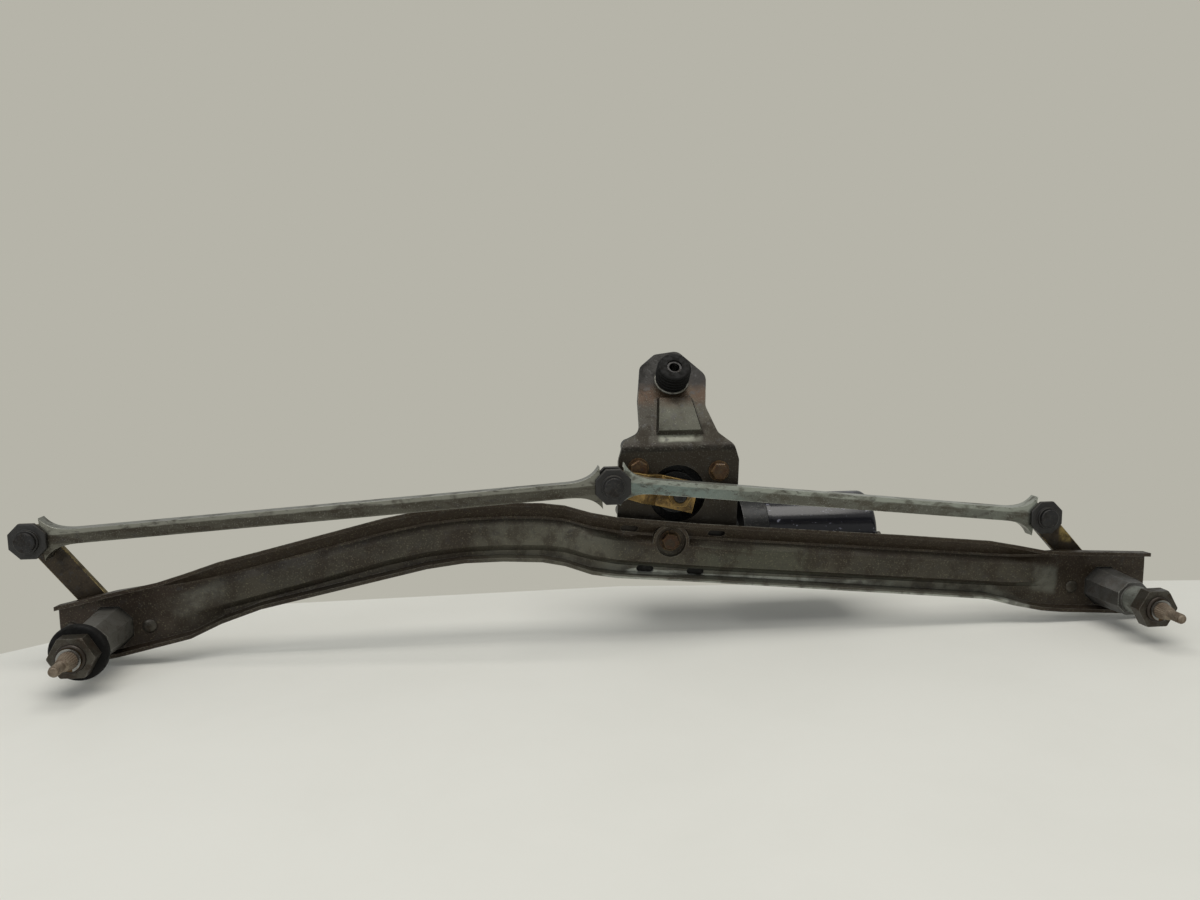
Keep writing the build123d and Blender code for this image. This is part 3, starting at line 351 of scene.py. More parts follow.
# Insides and small machined parts keep their CAD shape and get the finish of their material slot
insideLooks = {
    # Machined steel kept clean by grease: bright, with a soft oily sheen
    "greasedSteel": {
        "slot": "bare_steel",
        "base": "#8c8c8a", "second": "#757573", "film": "#5a5248", "grime": "#3b342b",
        "speckColour": "#a5a5a2", "bright": "#bdbdba", "patch": 8.0, "filmSize": 6.0, "filmLow": 0.52,
        "filmShare": 0.4, "grimeSize": 3.0, "grimeLow": 0.6, "grimeShare": 0.4, "speck": 0.5,
        "speckShare": 0.2, "edge": 0.4, "edgeShare": 0.4, "rough": (0.22, 0.4), "metallic": 0.95,
        "grain": 0.3, "grainDepth": 0.02, "relief": 0.02,
    },
    # Oil-soaked sintered bronze: brown-gold and finely pitted
    "sinteredBronze": {
        "slot": "bronze",
        "base": "#5f4a30", "second": "#4d3b26", "film": "#3e2f1f", "grime": "#3a2b1a",
        "speckColour": "#7a6240", "bright": "#8c734f", "patch": 5.0, "filmSize": 3.0, "filmLow": 0.5,
        "filmShare": 0.5, "grimeSize": 1.5, "grimeLow": 0.58, "grimeShare": 0.5, "speck": 0.4,
        "speckShare": 0.4, "edge": 0.3, "edgeShare": 0.4, "rough": (0.35, 0.55), "metallic": 0.9,
        "grain": 0.3, "grainDepth": 0.04, "relief": 0.03,
    },
    # Enamelled copper wire, bars and blades: warm and glossy
    "enamelledCopper": {
        "slot": "copper",
        "base": "#a0613c", "second": "#854a2c", "film": "#6a3a24", "grime": "#452818",
        "speckColour": "#bd7c54", "bright": "#d19a72", "patch": 4.0, "filmSize": 3.0, "filmLow": 0.52,
        "filmShare": 0.4, "grimeSize": 1.6, "grimeLow": 0.6, "grimeShare": 0.4, "speck": 0.5,
        "speckShare": 0.3, "edge": 0.3, "edgeShare": 0.4, "rough": (0.25, 0.42), "metallic": 0.95,
        "grain": 0.3, "grainDepth": 0.02, "relief": 0.02,
    },
    # Sintered ferrite magnets and carbon brushes: near black, powdery
    "sinteredFerrite": {
        "slot": "ferrite",
        "base": "#2b2b2d", "second": "#232325", "film": "#1c1c1d", "grime": "#141414",
        "speckColour": "#3c3c3e", "bright": "#505052", "patch": 9.0, "filmSize": 4.0, "filmLow": 0.5,
        "filmShare": 0.5, "grimeSize": 2.0, "grimeLow": 0.58, "grimeShare": 0.5, "speck": 0.5,
        "speckShare": 0.3, "edge": 0.4, "edgeShare": 0.3, "rough": (0.6, 0.8), "metallic": 0.15,
        "grain": 0.4, "grainDepth": 0.04, "relief": 0.03,
    },
}
# Acetal worm wheel: moulded, milky, slightly waxy
acetalLook = {
    "base": "#cfc7ad", "second": "#bfb598", "dust": "#8a7a56", "patch": 14.0, "dustSize": 6.0,
    "dustShare": 0.3, "rough": (0.3, 0.45), "grain": 0.6, "grainDepth": 0.02, "ior": 1.48,
}
insideFinishes = {look["slot"]: platedMetal(name, look) for name, look in insideLooks.items()}
insideFinishes["pale_plastic"] = mouldedPart("mouldedAcetal", acetalLook)


# Cross beam: deep-drawn zinc-plated steel after years under the cowl, grey-green zinc under brown dirt.
# The folded upper band and the end plates are browner. The lower flange and lip on the right half, the upper part of
# the web and the two ends of the raised web carry painted highlights.
beamWeb = {"by": "belowTop", "start": 13.0, "end": 40.0, "soft": 3.0}
beamLook = {
    "base": "#3d372d", "second": "#302b23", "film": "#2e241a", "grime": "#1d1711",
    "speckColour": "#79745f", "bright": "#85827a", "patch": 34.0, "filmSize": 17.0, "filmLow": 0.44,
    "filmShare": 0.55, "grimeSize": 5.0, "grimeLow": 0.54, "grimeShare": 0.45, "speck": 0.9,
    "speckShare": 0.4, "edge": 0.7, "edgeShare": 0.6, "rough": (0.36, 0.58), "metallic": 0.5,
    "grain": 0.8, "grainDepth": 0.08, "relief": 0.06,
    "zones": (
        # Painted highlight: the upper part of the web a little lighter, where its rounded crown faces the light
        {"by": "belowTop", "start": 14.0, "end": 31.0, "soft": 4.0, "wander": 3.0, "share": 0.2, "colour": "#56554a"},
        {"by": "x", "start": 218.0, "end": 302.0, "soft": 12.0, "wander": 10.0, "share": 0.5, "colour": "#6b6a5e",
         "within": beamWeb},
        {"by": "x", "start": 350.0, "end": 430.0, "soft": 16.0, "wander": 10.0, "share": 0.35, "colour": "#575b4c",
         "within": beamWeb},
        {"by": "belowTop", "start": -5.0, "end": 10.8, "soft": 1.2, "wander": 0.6, "share": 0.85, "colour": "#352b20"},
        {"by": "x", "start": -60.0, "end": 40.0, "soft": 14.0, "wander": 12.0, "share": 0.65, "colour": "#33271f"},
        {"by": "x", "start": 585.0, "end": 700.0, "soft": 14.0, "wander": 12.0, "share": 0.65, "colour": "#34291f"},
        # The next two zones are painted highlights at the two ends of the raised web, where its step catches the light
        {"by": "x", "start": 37.0, "end": 62.0, "soft": 5.0, "wander": 5.0, "share": 0.5, "colour": "#74736a",
         "within": {"by": "belowTop", "start": 12.0, "end": 24.0, "soft": 4.0}},
        {"by": "x", "start": 576.0, "end": 592.0, "soft": 2.5, "wander": 3.0, "share": 0.6, "colour": "#74756c",
         "within": {"by": "belowTop", "start": 11.0, "end": 28.0, "soft": 3.0}},
        # Painted highlight on the lower flange and, brighter still, on its lip, along the right half
        {"by": "flangeHighlight", "start": 0.5, "end": 2.0, "soft": 0.2, "wander": 0.2, "share": 0.6, "colour": "#66675e"},
        {"by": "lipHighlight", "start": 0.5, "end": 2.0, "soft": 0.2, "wander": 0.2, "share": 0.9, "colour": "#a6a9a0"},
    ),
    "rounding": 0.4, "lipHeight": 1.9, "flangeHeight": 7.5, "lipFrom": 300.0, "lipTo": 575.0,
    "column": 6.0, "shallowest": 25,
}


def measureBeam(mesh):
    # Distance below the beam's upper edge, and the right-half stretch of its lower flange and lip that gets a painted
    # highlight, for the zones above
    width = beamLook["column"]
    tops, bottoms = {}, {}
    for vertex in mesh.vertices:
        column = round(vertex.co.x * 1000 / width)
        tops[column] = max(tops.get(column, -math.inf), vertex.co.z * 1000)
        bottoms[column] = min(bottoms.get(column, math.inf), vertex.co.z * 1000)
    places = sorted(column for column in tops if tops[column] - bottoms[column] > beamLook["shallowest"])

    def between(table, x):
        at = x / width
        left = max((p for p in places if p <= at), default=places[0])
        right = min((p for p in places if p > at), default=places[-1])
        share = 0 if right == left else (at - left) / (right - left)
        return table[left] * (1 - share) + table[right] * share

    below = mesh.attributes.new("belowTop", "FLOAT", "POINT")
    flange = mesh.attributes.new("flangeHighlight", "FLOAT", "POINT")
    lip = mesh.attributes.new("lipHighlight", "FLOAT", "POINT")
    for vertex in mesh.vertices:
        x, z = vertex.co.x * 1000, vertex.co.z * 1000
        below.data[vertex.index].value = between(tops, x) - z
        above = z - between(bottoms, x)
        lit = beamLook["lipFrom"] < x < beamLook["lipTo"]
        flange.data[vertex.index].value = float(lit and above < beamLook["flangeHeight"])
        lip.data[vertex.index].value = float(lit and above < beamLook["lipHeight"])


beamFinish = platedMetal("grimyPressedZinc", beamLook)
roundedCopy("cross_beam", beamLook["rounding"], beamFinish, measureBeam)
print("cross beam dressed")


# Motor bracket: the same plating, rusty on the ear, black round the grommet from grime and painted shade, with painted
# shade on its flanks, below the bend and behind the beam, and a painted shadow and a painted highlight at the bend
earHeight = {"by": "z", "start": 97.0, "end": 200.0, "soft": 2.0}
bracketLook = {
    "base": "#4b4d43", "second": "#3c3d33", "film": "#2f281e", "grime": "#1d1812",
    "speckColour": "#6f7065", "bright": "#83847a", "patch": 22.0, "filmSize": 15.0, "filmLow": 0.5,
    "filmShare": 0.6, "grimeSize": 4.0, "grimeLow": 0.55, "grimeShare": 0.6, "speck": 0.9,
    "speckShare": 0.35, "edge": 0.8, "edgeShare": 0.55, "rough": (0.38, 0.6), "metallic": 0.6,
    "grain": 0.6, "grainDepth": 0.04, "relief": 0.05,
    "zones": (
        # Painted shade: the upright plate below the bend darker
        {"by": "z", "start": 0.0, "end": 97.0, "soft": 2.5, "wander": 3.0, "share": 0.94, "colour": "#2e271e"},
        # Painted shade on the ear's two flanks, which stand back from its raised middle
        {"by": "x", "start": 280.0, "end": 330.5, "soft": 1.6, "wander": 1.6, "share": 0.85, "colour": "#211c15",
         "within": earHeight},
        {"by": "x", "start": 357.5, "end": 400.0, "soft": 1.6, "wander": 1.6, "share": 0.8, "colour": "#29241b",
         "within": earHeight},
        # Painted shadow under the bend, then a painted highlight line just above it
        {"by": "z", "start": 96.0, "end": 101.5, "soft": 0.8, "wander": 0.6, "share": 0.8, "colour": "#1f1a14"},
        {"by": "z", "start": 101.8, "end": 104.2, "soft": 0.7, "wander": 0.6, "share": 0.8, "colour": "#6f7066",
         "within": {"by": "x", "start": 331.0, "end": 357.0, "soft": 2.0, "wander": 1.5}},
        {"by": "z", "start": 124.0, "end": 140.0, "soft": 4.0, "wander": 4.0, "share": 0.8, "colour": "#3a2818"},
        {"by": "fromBead", "start": -1.2, "end": 1.4, "soft": 0.5, "wander": 0.4, "share": 0.75, "colour": "#241d15"},
    ),
    "covers": (
        # Painted shade: everything behind the beam covered near black
        {"by": "z", "start": -10.0, "end": 46.8, "soft": 0.6, "share": 1.0, "colour": "#0b0a08"},
        # Near-black grime and painted shade round the grommet
        {"by": "z", "start": 134.0, "end": 175.0, "soft": 4.0, "wander": 5.0, "share": 0.96, "colour": "#0e0c09"},
        # Painted shade: a soft dark band fading up from the beam's top edge
        {"by": "z", "start": 44.0, "end": 60.0, "soft": 6.0, "wander": 4.0, "share": 0.7, "colour": "#1b1610"},
    ),
    "rounding": 0.5, "sleeveLength": 21.5, "sleeveBehind": 7.0, "farOff": 99.0,
    "beadEdge": ((-14.6, -42.0), (15.6, -42.0), (11.6, -14.0), (-11.0, -14.0)),
}
earAxis = Vector(mounts["bracket_sleeve"]["axis"])
earMiddle = Vector(mounts["bracket_sleeve"]["pos_m"])
# The middle of the sleeve lies this far in front of the ear, in millimetres
sleeveAhead = bracketLook["sleeveLength"] / 2 - bracketLook["sleeveBehind"]
earFront = earMiddle - earAxis * sleeveAhead / 1000


def measureBracket(mesh):
    # Distance from the foot of the pressed bead on the ear, for a dark line along it
    up = Vector((0, earAxis.z, -earAxis.y))
    corners = bracketLook["beadEdge"]
    reach = mesh.attributes.new("fromBead", "FLOAT", "POINT")
    for vertex in mesh.vertices:
        offset = (vertex.co - earFront) * 1000
        x, z = offset.x, offset.dot(up)
        nearest = bracketLook["farOff"]
        for (x0, z0), (x1, z1) in ((corners[1], corners[2]), (corners[3], corners[0])):
            dx, dz = x1 - x0, z1 - z0
            share = min(max(((x - x0) * dx + (z - z0) * dz) / (dx**2 + dz**2), 0), 1)
            nearest = min(nearest, math.hypot(x - x0 - share * dx, z - z0 - share * dz))
        reach.data[vertex.index].value = nearest


bracketFinish = platedMetal("paleBracketZinc", bracketLook)
roundedCopy("motor_bracket", bracketLook["rounding"], bracketFinish, measureBracket)
print("motor bracket dressed")


# Link rods: roll-formed galvanised strip with a painted highlight on the top flange and on faces that point up; the
# left one is dirtier than the right
linkLook = {
    "base": "#6f726a", "second": "#5b5c54", "film": "#4d473c", "grime": "#322c23",
    "speckColour": "#9fa198", "bright": "#c3c5bb", "patch": 12.0, "filmSize": 6.0, "filmLow": 0.48,
    "filmShare": 0.7, "grimeSize": 2.4, "grimeLow": 0.55, "grimeShare": 0.7, "speck": 0.7,
    "speckShare": 0.45, "edge": 0.6, "edgeShare": 0.8, "rough": (0.28, 0.5), "metallic": 0.7,
    "grain": 0.5, "grainDepth": 0.04, "relief": 0.05, "stretch": (0.4, 1, 1),
    "zones": (
        {"by": "x", "start": 390.0, "end": 520.0, "soft": 30.0, "wander": 20.0, "share": 0.45, "colour": "#57534a"},
        {"by": "x", "start": 250.0, "end": 370.0, "soft": 30.0, "wander": 10.0, "share": 0.6, "colour": "#7f928e"},
        # Painted highlights: the top flange above the rod line, and every face that points up
        {"by": "aboveRod", "start": 1.7, "end": 60.0, "soft": 0.5, "wander": 0.5, "share": 0.75, "colour": "#a6aba1"},
        {"by": "upward", "start": 0.5, "end": 2.0, "soft": 0.2, "wander": 0.1, "share": 0.85, "colour": "#b4b7ad"},
    ),
    "rounding": 0.3,
}
dirtyLinkLook = dict(
    linkLook,
    base="#514f46", second="#3f3c33", film="#362f26", grime="#221d17", speckColour="#817f75", bright="#96968c",
    zones=(
        # Painted highlights: the top flange above the rod line, and every face that points up
        {"by": "aboveRod", "start": 1.9, "end": 60.0, "soft": 0.5, "wander": 0.5, "share": 0.85, "colour": "#87877d"},
        {"by": "aboveRod", "start": -60.0, "end": -3.6, "soft": 0.4, "wander": 0.4, "share": 0.5, "colour": "#6b6a60"},
        {"by": "upward", "start": 0.5, "end": 2.0, "soft": 0.2, "wander": 0.1, "share": 0.85, "colour": "#8f9087"},
    ),
)


def measureRod(outerPin):
    # Height of each point above the line through the rod's two pins
    def measure(mesh):
        middles = []
        for pin in (outerPin, "crank_pin"):
            low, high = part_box(pin)
            middles.append(((low[0] + high[0]) * 500, (low[2] + high[2]) * 500))
        (x0, z0), (x1, z1) = middles
        run = math.hypot(x1 - x0, z1 - z0) * (1 if x1 > x0 else -1)
        height = mesh.attributes.new("aboveRod", "FLOAT", "POINT")
        for vertex in mesh.vertices:
            x, z = vertex.co.x * 1000, vertex.co.z * 1000
            height.data[vertex.index].value = ((x1 - x0) * (z - z0) - (z1 - z0) * (x - x0)) / run

    return measure


dirtyLinkFinish = platedMetal("grimyGalvanisedStrip", dirtyLinkLook)
cleanLinkFinish = platedMetal("galvanisedStrip", linkLook)
roundedCopy("left_link_rod", linkLook["rounding"], dirtyLinkFinish, measureRod("left_arm_pin"))
roundedCopy("right_link_rod", linkLook["rounding"], cleanLinkFinish, measureRod("right_arm_pin"))

# Bushes: moulded glass-filled nylon, near black, dull with brown road dirt
bushLook = {
    "base": "#161412", "second": "#121110", "dust": "#463f35", "patch": 9.0, "dustSize": 4.0,
    "dustShare": 0.35, "rough": (0.42, 0.62), "grain": 0.5, "grainDepth": 0.04, "ior": 1.53, "rounding": 0.35,
    "socketRounding": 0.4,
}
nylonFinish = mouldedPart("glassFilledNylon", bushLook)
for node in ("left_outer_bush", "right_outer_bush", "left_inner_bush", "right_inner_bush"):
    roundedCopy(node, bushLook["rounding"], nylonFinish)
print("link rods and bushes dressed")


# Spindle arms: stamped and yellow passivated, olive-brown under the dirt, gold where it is rubbed
armLook = {
    "base": "#3a3126", "second": "#2f281f", "film": "#28211a", "grime": "#1d1813",
    "speckColour": "#5d5239", "bright": "#a9925a", "patch": 14.0, "filmSize": 8.0, "filmLow": 0.46,
    "filmShare": 0.7, "grimeSize": 3.5, "grimeLow": 0.53, "grimeShare": 0.6, "speck": 0.9,
    "speckShare": 0.3, "edge": 0.8, "edgeShare": 0.9, "rough": (0.36, 0.58), "metallic": 0.6,
    "grain": 0.6, "grainDepth": 0.04, "relief": 0.05,
    "zones": (
        # Painted highlight in gold on the faces that point up
        {"by": "upward", "start": 0.5, "end": 2.0, "soft": 0.2, "wander": 0.3, "share": 0.75, "colour": "#8a7a4e"},
        {"by": "x", "start": 599.0, "end": 607.0, "soft": 1.5, "wander": 3.0, "share": 0.85, "colour": "#9a8650",
         "within": {"by": "z", "start": 29.0, "end": 40.0, "soft": 2.0, "wander": 3.0}},
    ),
    "rounding": 0.35,
}
armFinish = platedMetal("dirtyYellowPassivate", armLook)
for node in ("left_spindle_arm", "right_spindle_arm", "left_arm_rivet", "right_arm_rivet"):
    roundedCopy(node, armLook["rounding"], armFinish)

# Crank and its nut: the same passivation kept clean by grease, plain gold on the edges
crankLook = {
    "base": "#94794a", "second": "#6c5733", "film": "#4b3b26", "grime": "#271f15",
    "speckColour": "#a88d52", "bright": "#d8b76a", "patch": 10.0, "filmSize": 7.0, "filmLow": 0.47,
    "filmShare": 0.7, "grimeSize": 3.0, "grimeLow": 0.54, "grimeShare": 0.65, "speck": 0.8,
    "speckShare": 0.3, "edge": 0.8, "edgeShare": 0.95, "rough": (0.28, 0.5), "metallic": 0.75,
    "grain": 0.5, "grainDepth": 0.03, "relief": 0.04, "rounding": 0.35,
}
crankFinish = platedMetal("goldPassivate", crankLook)
for node in ("motor_crank", "crank_nut"):
    roundedCopy(node, crankLook["rounding"], crankFinish)
keepNode("park_disc", crankFinish)
print("arms and crank dressed")


# Spindle housings and gearbox: die-cast zinc alloy with a dull skin and brown stains, the gearbox much darker
castLook = {
    "base": "#605f5d", "second": "#4f4e4a", "film": "#413b34", "grime": "#2c2721",
    "speckColour": "#74746e", "bright": "#a3a39d", "patch": 13.0, "filmSize": 8.0, "filmLow": 0.5,
    "filmShare": 0.6, "grimeSize": 3.0, "grimeLow": 0.56, "grimeShare": 0.6, "speck": 0.8,
    "speckShare": 0.3, "edge": 0.9, "edgeShare": 0.95, "rough": (0.36, 0.56), "metallic": 0.6,
    "grain": 0.45, "grainDepth": 0.05, "relief": 0.05,
    "zones": (
        {"by": "y", "start": -13.8, "end": -1.0, "soft": 0.6, "wander": 0.8, "share": 0.75, "colour": "#848880"},
        # Painted light lifting the left housing, which sits in the gasket's shade
        {"by": "x", "start": -60.0, "end": 60.0, "soft": 5.0, "share": 0.4, "colour": "#8a8880"},
    ),
    "covers": (
        {"by": "y", "start": -40.0, "end": -15.0, "soft": 0.4, "share": 0.92, "colour": "#2a2119"},
    ),
    "rounding": 0.5,
}
castFinish = platedMetal("dieCastZinc", castLook)
for node in ("left_spindle_housing", "right_spindle_housing"):
    roundedCopy(node, castLook["rounding"], castFinish)
gearboxLook = dict(castLook, base="#272829", second="#212121", film="#222120", bright="#5c5c5b", rounding=0.6,
                   zones=(), covers=())
gearboxFinish = platedMetal("greasyGearboxCasting", gearboxLook)
for node in ("gearbox_housing", "gearbox_cover"):
    roundedCopy(node, gearboxLook["rounding"], gearboxFinish)

# Hub nuts, pins, screws and cup: cold-headed plain plated steel, brown-grey with rust in the corners
steelLook = {
    "base": "#4b4841", "second": "#3c3830", "film": "#35291e", "grime": "#221b14",
    "speckColour": "#69635a", "bright": "#8a867d", "patch": 9.0, "filmSize": 6.0, "filmLow": 0.47,
    "filmShare": 0.7, "grimeSize": 2.5, "grimeLow": 0.54, "grimeShare": 0.6, "speck": 0.8,
    "speckShare": 0.3, "edge": 0.6, "edgeShare": 0.8, "rough": (0.36, 0.58), "metallic": 0.65,
    "grain": 0.5, "grainDepth": 0.04, "relief": 0.05, "rounding": 0.35,
}
steelFinish = platedMetal("stainedPlatedSteel", steelLook)
roundedCopy("hub_nuts", steelLook["rounding"], steelFinish)
# Pins: the same steel, blackened by old grease
pinLook = dict(steelLook, base="#2f2f30", second="#252424", film="#211c18", grime="#171310", bright="#5b5954",
               smallRounding=0.2)
pinFinish = platedMetal("greaseBlackPins", pinLook)
for node in ("left_arm_pin", "right_arm_pin", "crank_pin"):
    roundedCopy(node, pinLook["rounding"], pinFinish)
keepNode("output_shaft", pinFinish)
for node in ("grommet_sleeve", "thrust_screw"):
    roundedCopy(node, pinLook["smallRounding"], pinFinish)
# Cup under the grommet: bright zinc, protected by the rubber
cupLook = dict(steelLook, base="#8a8982", second="#74736b", film="#5d574a", bright="#a7a69d", rounding=0.2)
roundedCopy("grommet_cup", cupLook["rounding"], platedMetal("brightZincCup", cupLook))
print("castings and nuts dressed")


# Rubber: black, matt, with a brown bloom of dirt on what faces up
rubberLook = {
    "base": "#080807", "second": "#0c0b0a", "dust": "#2c271f", "patch": 7.0, "dustSize": 3.0,
    "dustShare": 0.12, "rough": (0.6, 0.85), "grain": 0.4, "grainDepth": 0.05, "ior": 1.3, "rounding": 0.5,
}
rubberFinish = mouldedPart("blackMouldedRubber", rubberLook)
for node in ("left_hub_gasket", "bracket_grommet"):
    roundedCopy(node, rubberLook["rounding"], rubberFinish)

# Motor can: deep-drawn steel in black stoved enamel, glossy, scuffed in short streaks
canLook = {
    "base": "#16161a", "second": "#1a1a1f", "dust": "#6f6d70", "patch": 40.0, "dustSize": 30.0,
    "dustShare": 0.03, "rough": (0.15, 0.2), "grain": 1.6, "grainDepth": 0.02, "ior": 1.5,
    "scuff": "#8f90a0", "scuffSize": 4.0, "scuffStretch": (0.6, 1.6, 1.6), "scuffShare": 0.5, "rounding": 0.3,
}
canFinish = mouldedPart("blackStoveEnamel", canLook)
roundedCopy("motor_can", canLook["rounding"], canFinish)
roundedCopy("connector_socket", bushLook["socketRounding"], nylonFinish)
roundedCopy("can_screws", canLook["rounding"], steelFinish)
print("rubber and motor can dressed")


# Three bolts that hold the gearbox to the bracket: hexagon heads with a washer, gold plating gone rusty
boltLook = {
    "sizes": {"Flats": 10.0, "Head Height": 4.0, "Washer Radius": 6.5, "Washer Thickness": 0.8,
              "Shank Radius": 2.95, "Shank Length": 12.0},
    "places": ((367.32, 36.0, 83.06), (316.38, 36.0, 85.91), (335.84, 34.0, 40.05)),
    # A hexagon reaches this share of its flats at its corners
    "cornerShare": 0.57735, "chamferShare": 0.88, "straightShare": 0.82, "spin": 0.5, "seed": 7,
    "base": "#54402a", "second": "#413222", "film": "#40291a", "grime": "#221912",
    "speckColour": "#765c37", "bright": "#8d7046", "patch": 6.0, "filmSize": 4.5, "filmLow": 0.45,
    "filmShare": 0.75, "grimeSize": 2.5, "grimeLow": 0.53, "grimeShare": 0.6, "speck": 0.7,
    "speckShare": 0.3, "edge": 0.6, "edgeShare": 0.7, "rough": (0.34, 0.56), "metallic": 0.6,
    "grain": 0.5, "grainDepth": 0.04, "relief": 0.05,
    "zones": (
        {"by": "z", "start": 20.0, "end": 60.0, "soft": 5.0, "share": 0.85, "colour": "#2d251c"},
    ),
}


def boltTree(look):
    # Hexagon head with a chamfered top, washer and shank, pointing at the viewer
    tree, sizes = newTree("gearboxBolt", look["sizes"])
    flats = sizes["Flats"]
    corner = addNode(tree, "ShaderNodeMath", {"operation": "MULTIPLY", 1: look["cornerShare"]}, {0: flats})
    small = addNode(tree, "ShaderNodeMath", {"operation": "MULTIPLY", 1: look["chamferShare"]}, {0: corner})
    head = sizes["Head Height"]
    low = addNode(tree, "ShaderNodeMath", {"operation": "MULTIPLY", 1: look["straightShare"]}, {0: head})
    high = addNode(tree, "ShaderNodeMath", {"operation": "SUBTRACT"}, {0: head, 1: low})
    thick, washer = sizes["Washer Thickness"], sizes["Washer Radius"]
    above = addNode(tree, "ShaderNodeMath", {}, {0: thick, 1: low})
    pieces = [
        turned(tree, corner, corner, low, sides=6, lift=thick),
        turned(tree, corner, small, high, sides=6, lift=above), turned(tree, washer, washer, thick, sides=40),
        hangingShank(tree, sizes),
    ]
    whole = addNode(tree, "GeometryNodeJoinGeometry", {}, {0: pieces})
    return closeTree(tree, sizes, whole, math.pi / 2, look["spin"], look["seed"])


boltFinish = platedMetal("rustedGoldBolts", boltLook)
growOn(
    "gearboxBolts", boltLook["places"], boltTree(boltLook), boltLook["sizes"], boltFinish, "frame",
    "motor_bolts", smoothAngle=25,
)


# Rivets through the end plates: domed steel heads, set from behind, in the nuts' stained steel
rivetLook = {
    "sizes": {"Head Radius": 4.2, "Head Height": 1.4, "Tail Radius": 3.8, "Tail Height": 1.4,
              "Shank Radius": 2.5, "Grip": 6.15},
    "places": ((-22.0, 30.85, 0.0), (22.0, 30.85, 0.0), (603.5, 30.85, 0.0), (647.5, 30.85, 0.0)),
}


def rivetTree(look):
    # Domed head in front, shank and domed tail behind
    tree, sizes = newTree("housingRivet", look["sizes"])
    pieces = []
    for radius, height, behind in (("Head Radius", "Head Height", False), ("Tail Radius", "Tail Height", True)):
        ball = addNode(tree, "GeometryNodeMeshUVSphere", {"Segments": 32, "Rings": 12, "Radius": 1.0})
        deep = addNode(tree, "ShaderNodeCombineXYZ", {}, {0: sizes[radius], 1: sizes[height], 2: sizes[radius]})
        links = {"Geometry": ball, "Scale": deep}
        if behind:
            links["Translation"] = addNode(tree, "ShaderNodeCombineXYZ", {}, {1: sizes["Grip"]})
        pieces.append(addNode(tree, "GeometryNodeTransform", {}, links))
    shank = turned(tree, sizes["Shank Radius"], sizes["Shank Radius"], sizes["Grip"], sides=24)
    pieces.append(addNode(tree, "GeometryNodeTransform", {"Rotation": (-math.pi / 2, 0, 0)}, {"Geometry": shank}))
    whole = addNode(tree, "GeometryNodeJoinGeometry", {}, {0: pieces})
    return closeTree(tree, sizes, whole)


growOn(
    "housingRivets", rivetLook["places"], rivetTree(rivetLook), rivetLook["sizes"], steelFinish, "frame",
    "housing_rivets",
)


# Cover screws at the back of the gearbox: slotted cheese heads
screwLook = {
    "sizes": {"Head Radius": 3.9, "Head Height": 2.4, "Shank Radius": 1.95, "Shank Length": 14.5,
              "Slot Width": 1.0, "Slot Depth": 1.1},
    "circle": 33.9625, "middle": (341.0, 88.5, 69.3), "angles": (45, 135, 215, 325),
    "spin": 1.5, "seed": 3,
}


def screwTree(look):
    # Slotted head behind the cover and its shank, pointing away from the viewer
    tree, sizes = newTree("coverScrew", look["sizes"])
    head = turned(tree, sizes["Head Radius"], sizes["Head Radius"], sizes["Head Height"], sides=40)
    # The blade that cuts the slot reaches past the head, and half of it stands above
    wide = addNode(tree, "ShaderNodeMath", {"operation": "MULTIPLY", 1: 3.0}, {0: sizes["Head Radius"]})
    deep = addNode(tree, "ShaderNodeMath", {"operation": "MULTIPLY", 1: 2.0}, {0: sizes["Slot Depth"]})
    blade = addNode(tree, "ShaderNodeCombineXYZ", {}, {0: wide, 1: sizes["Slot Width"], 2: deep})
    cutter = addNode(tree, "GeometryNodeMeshCube", {}, {"Size": blade})
    lift = addNode(tree, "ShaderNodeCombineXYZ", {}, {2: sizes["Head Height"]})
    cutter = addNode(tree, "GeometryNodeTransform", {}, {"Geometry": cutter, "Translation": lift})
    slotted = addNode(tree, "GeometryNodeMeshBoolean", {"operation": "DIFFERENCE"}, {0: head, 1: cutter})
    whole = addNode(tree, "GeometryNodeJoinGeometry", {}, {0: [slotted, hangingShank(tree, sizes)]})
    return closeTree(tree, sizes, whole, -math.pi / 2, look["spin"], look["seed"])


screwPlaces = []
for angle in screwLook["angles"]:
    x, y, z = screwLook["middle"]
    turn = math.radians(angle)
    screwPlaces.append((x + screwLook["circle"] * math.cos(turn), y, z + screwLook["circle"] * math.sin(turn)))
growOn(
    "coverScrews", screwPlaces, screwTree(screwLook), screwLook["sizes"], steelFinish, "frame",
    "cover_screws",
)
print("bolts, rivets and screws made")


# Wiper spindles: ground steel under a thin tan film of rust, knurled cone, rolled thread on the stud
spindleLook = {
    "shaft": 5.0, "groove": 4.5, "coneRoot": 5.2, "coneTip": 3.7, "knurlDepth": 0.35, "knurlTeeth": 24,
    "stud": 3.0, "threadDepth": 0.42, "pitch": 1.0, "ridgeShare": 0.62, "threadStart": 1.0, "threadShort": 2.2,
    "chamfer": 0.5, "tipChamfer": 0.6, "knurlIn": 0.15, "knurlOut": 0.2, "coneFlare": 0.1, "shoulder": 0.4,
    "smoothAngle": 22,
    "back": 43.0, "grooveBack": -24.0, "grooveFront": -25.0, "coneBack": -25.2, "coneFront": -32.2, "tip": -42.7,
    "base": "#857868", "second": "#6c6052", "film": "#5a4a3a", "grime": "#3a2f25",
    "speckColour": "#a09482", "bright": "#b3a999", "patch": 7.0, "filmSize": 4.0, "filmLow": 0.48,
    "filmShare": 0.7, "grimeSize": 2.2, "grimeLow": 0.56, "grimeShare": 0.6, "speck": 0.6,
    "speckShare": 0.4, "edge": 0.4, "edgeShare": 0.5, "rough": (0.42, 0.66), "metallic": 0.45,
    "grain": 0.4, "grainDepth": 0.05, "relief": 0.05,
    "zones": (
        {"by": "y", "start": -29.0, "end": 60.0, "soft": 3.0, "wander": 1.0, "share": 0.55, "colour": "#5c4a3b"},
    ),
}


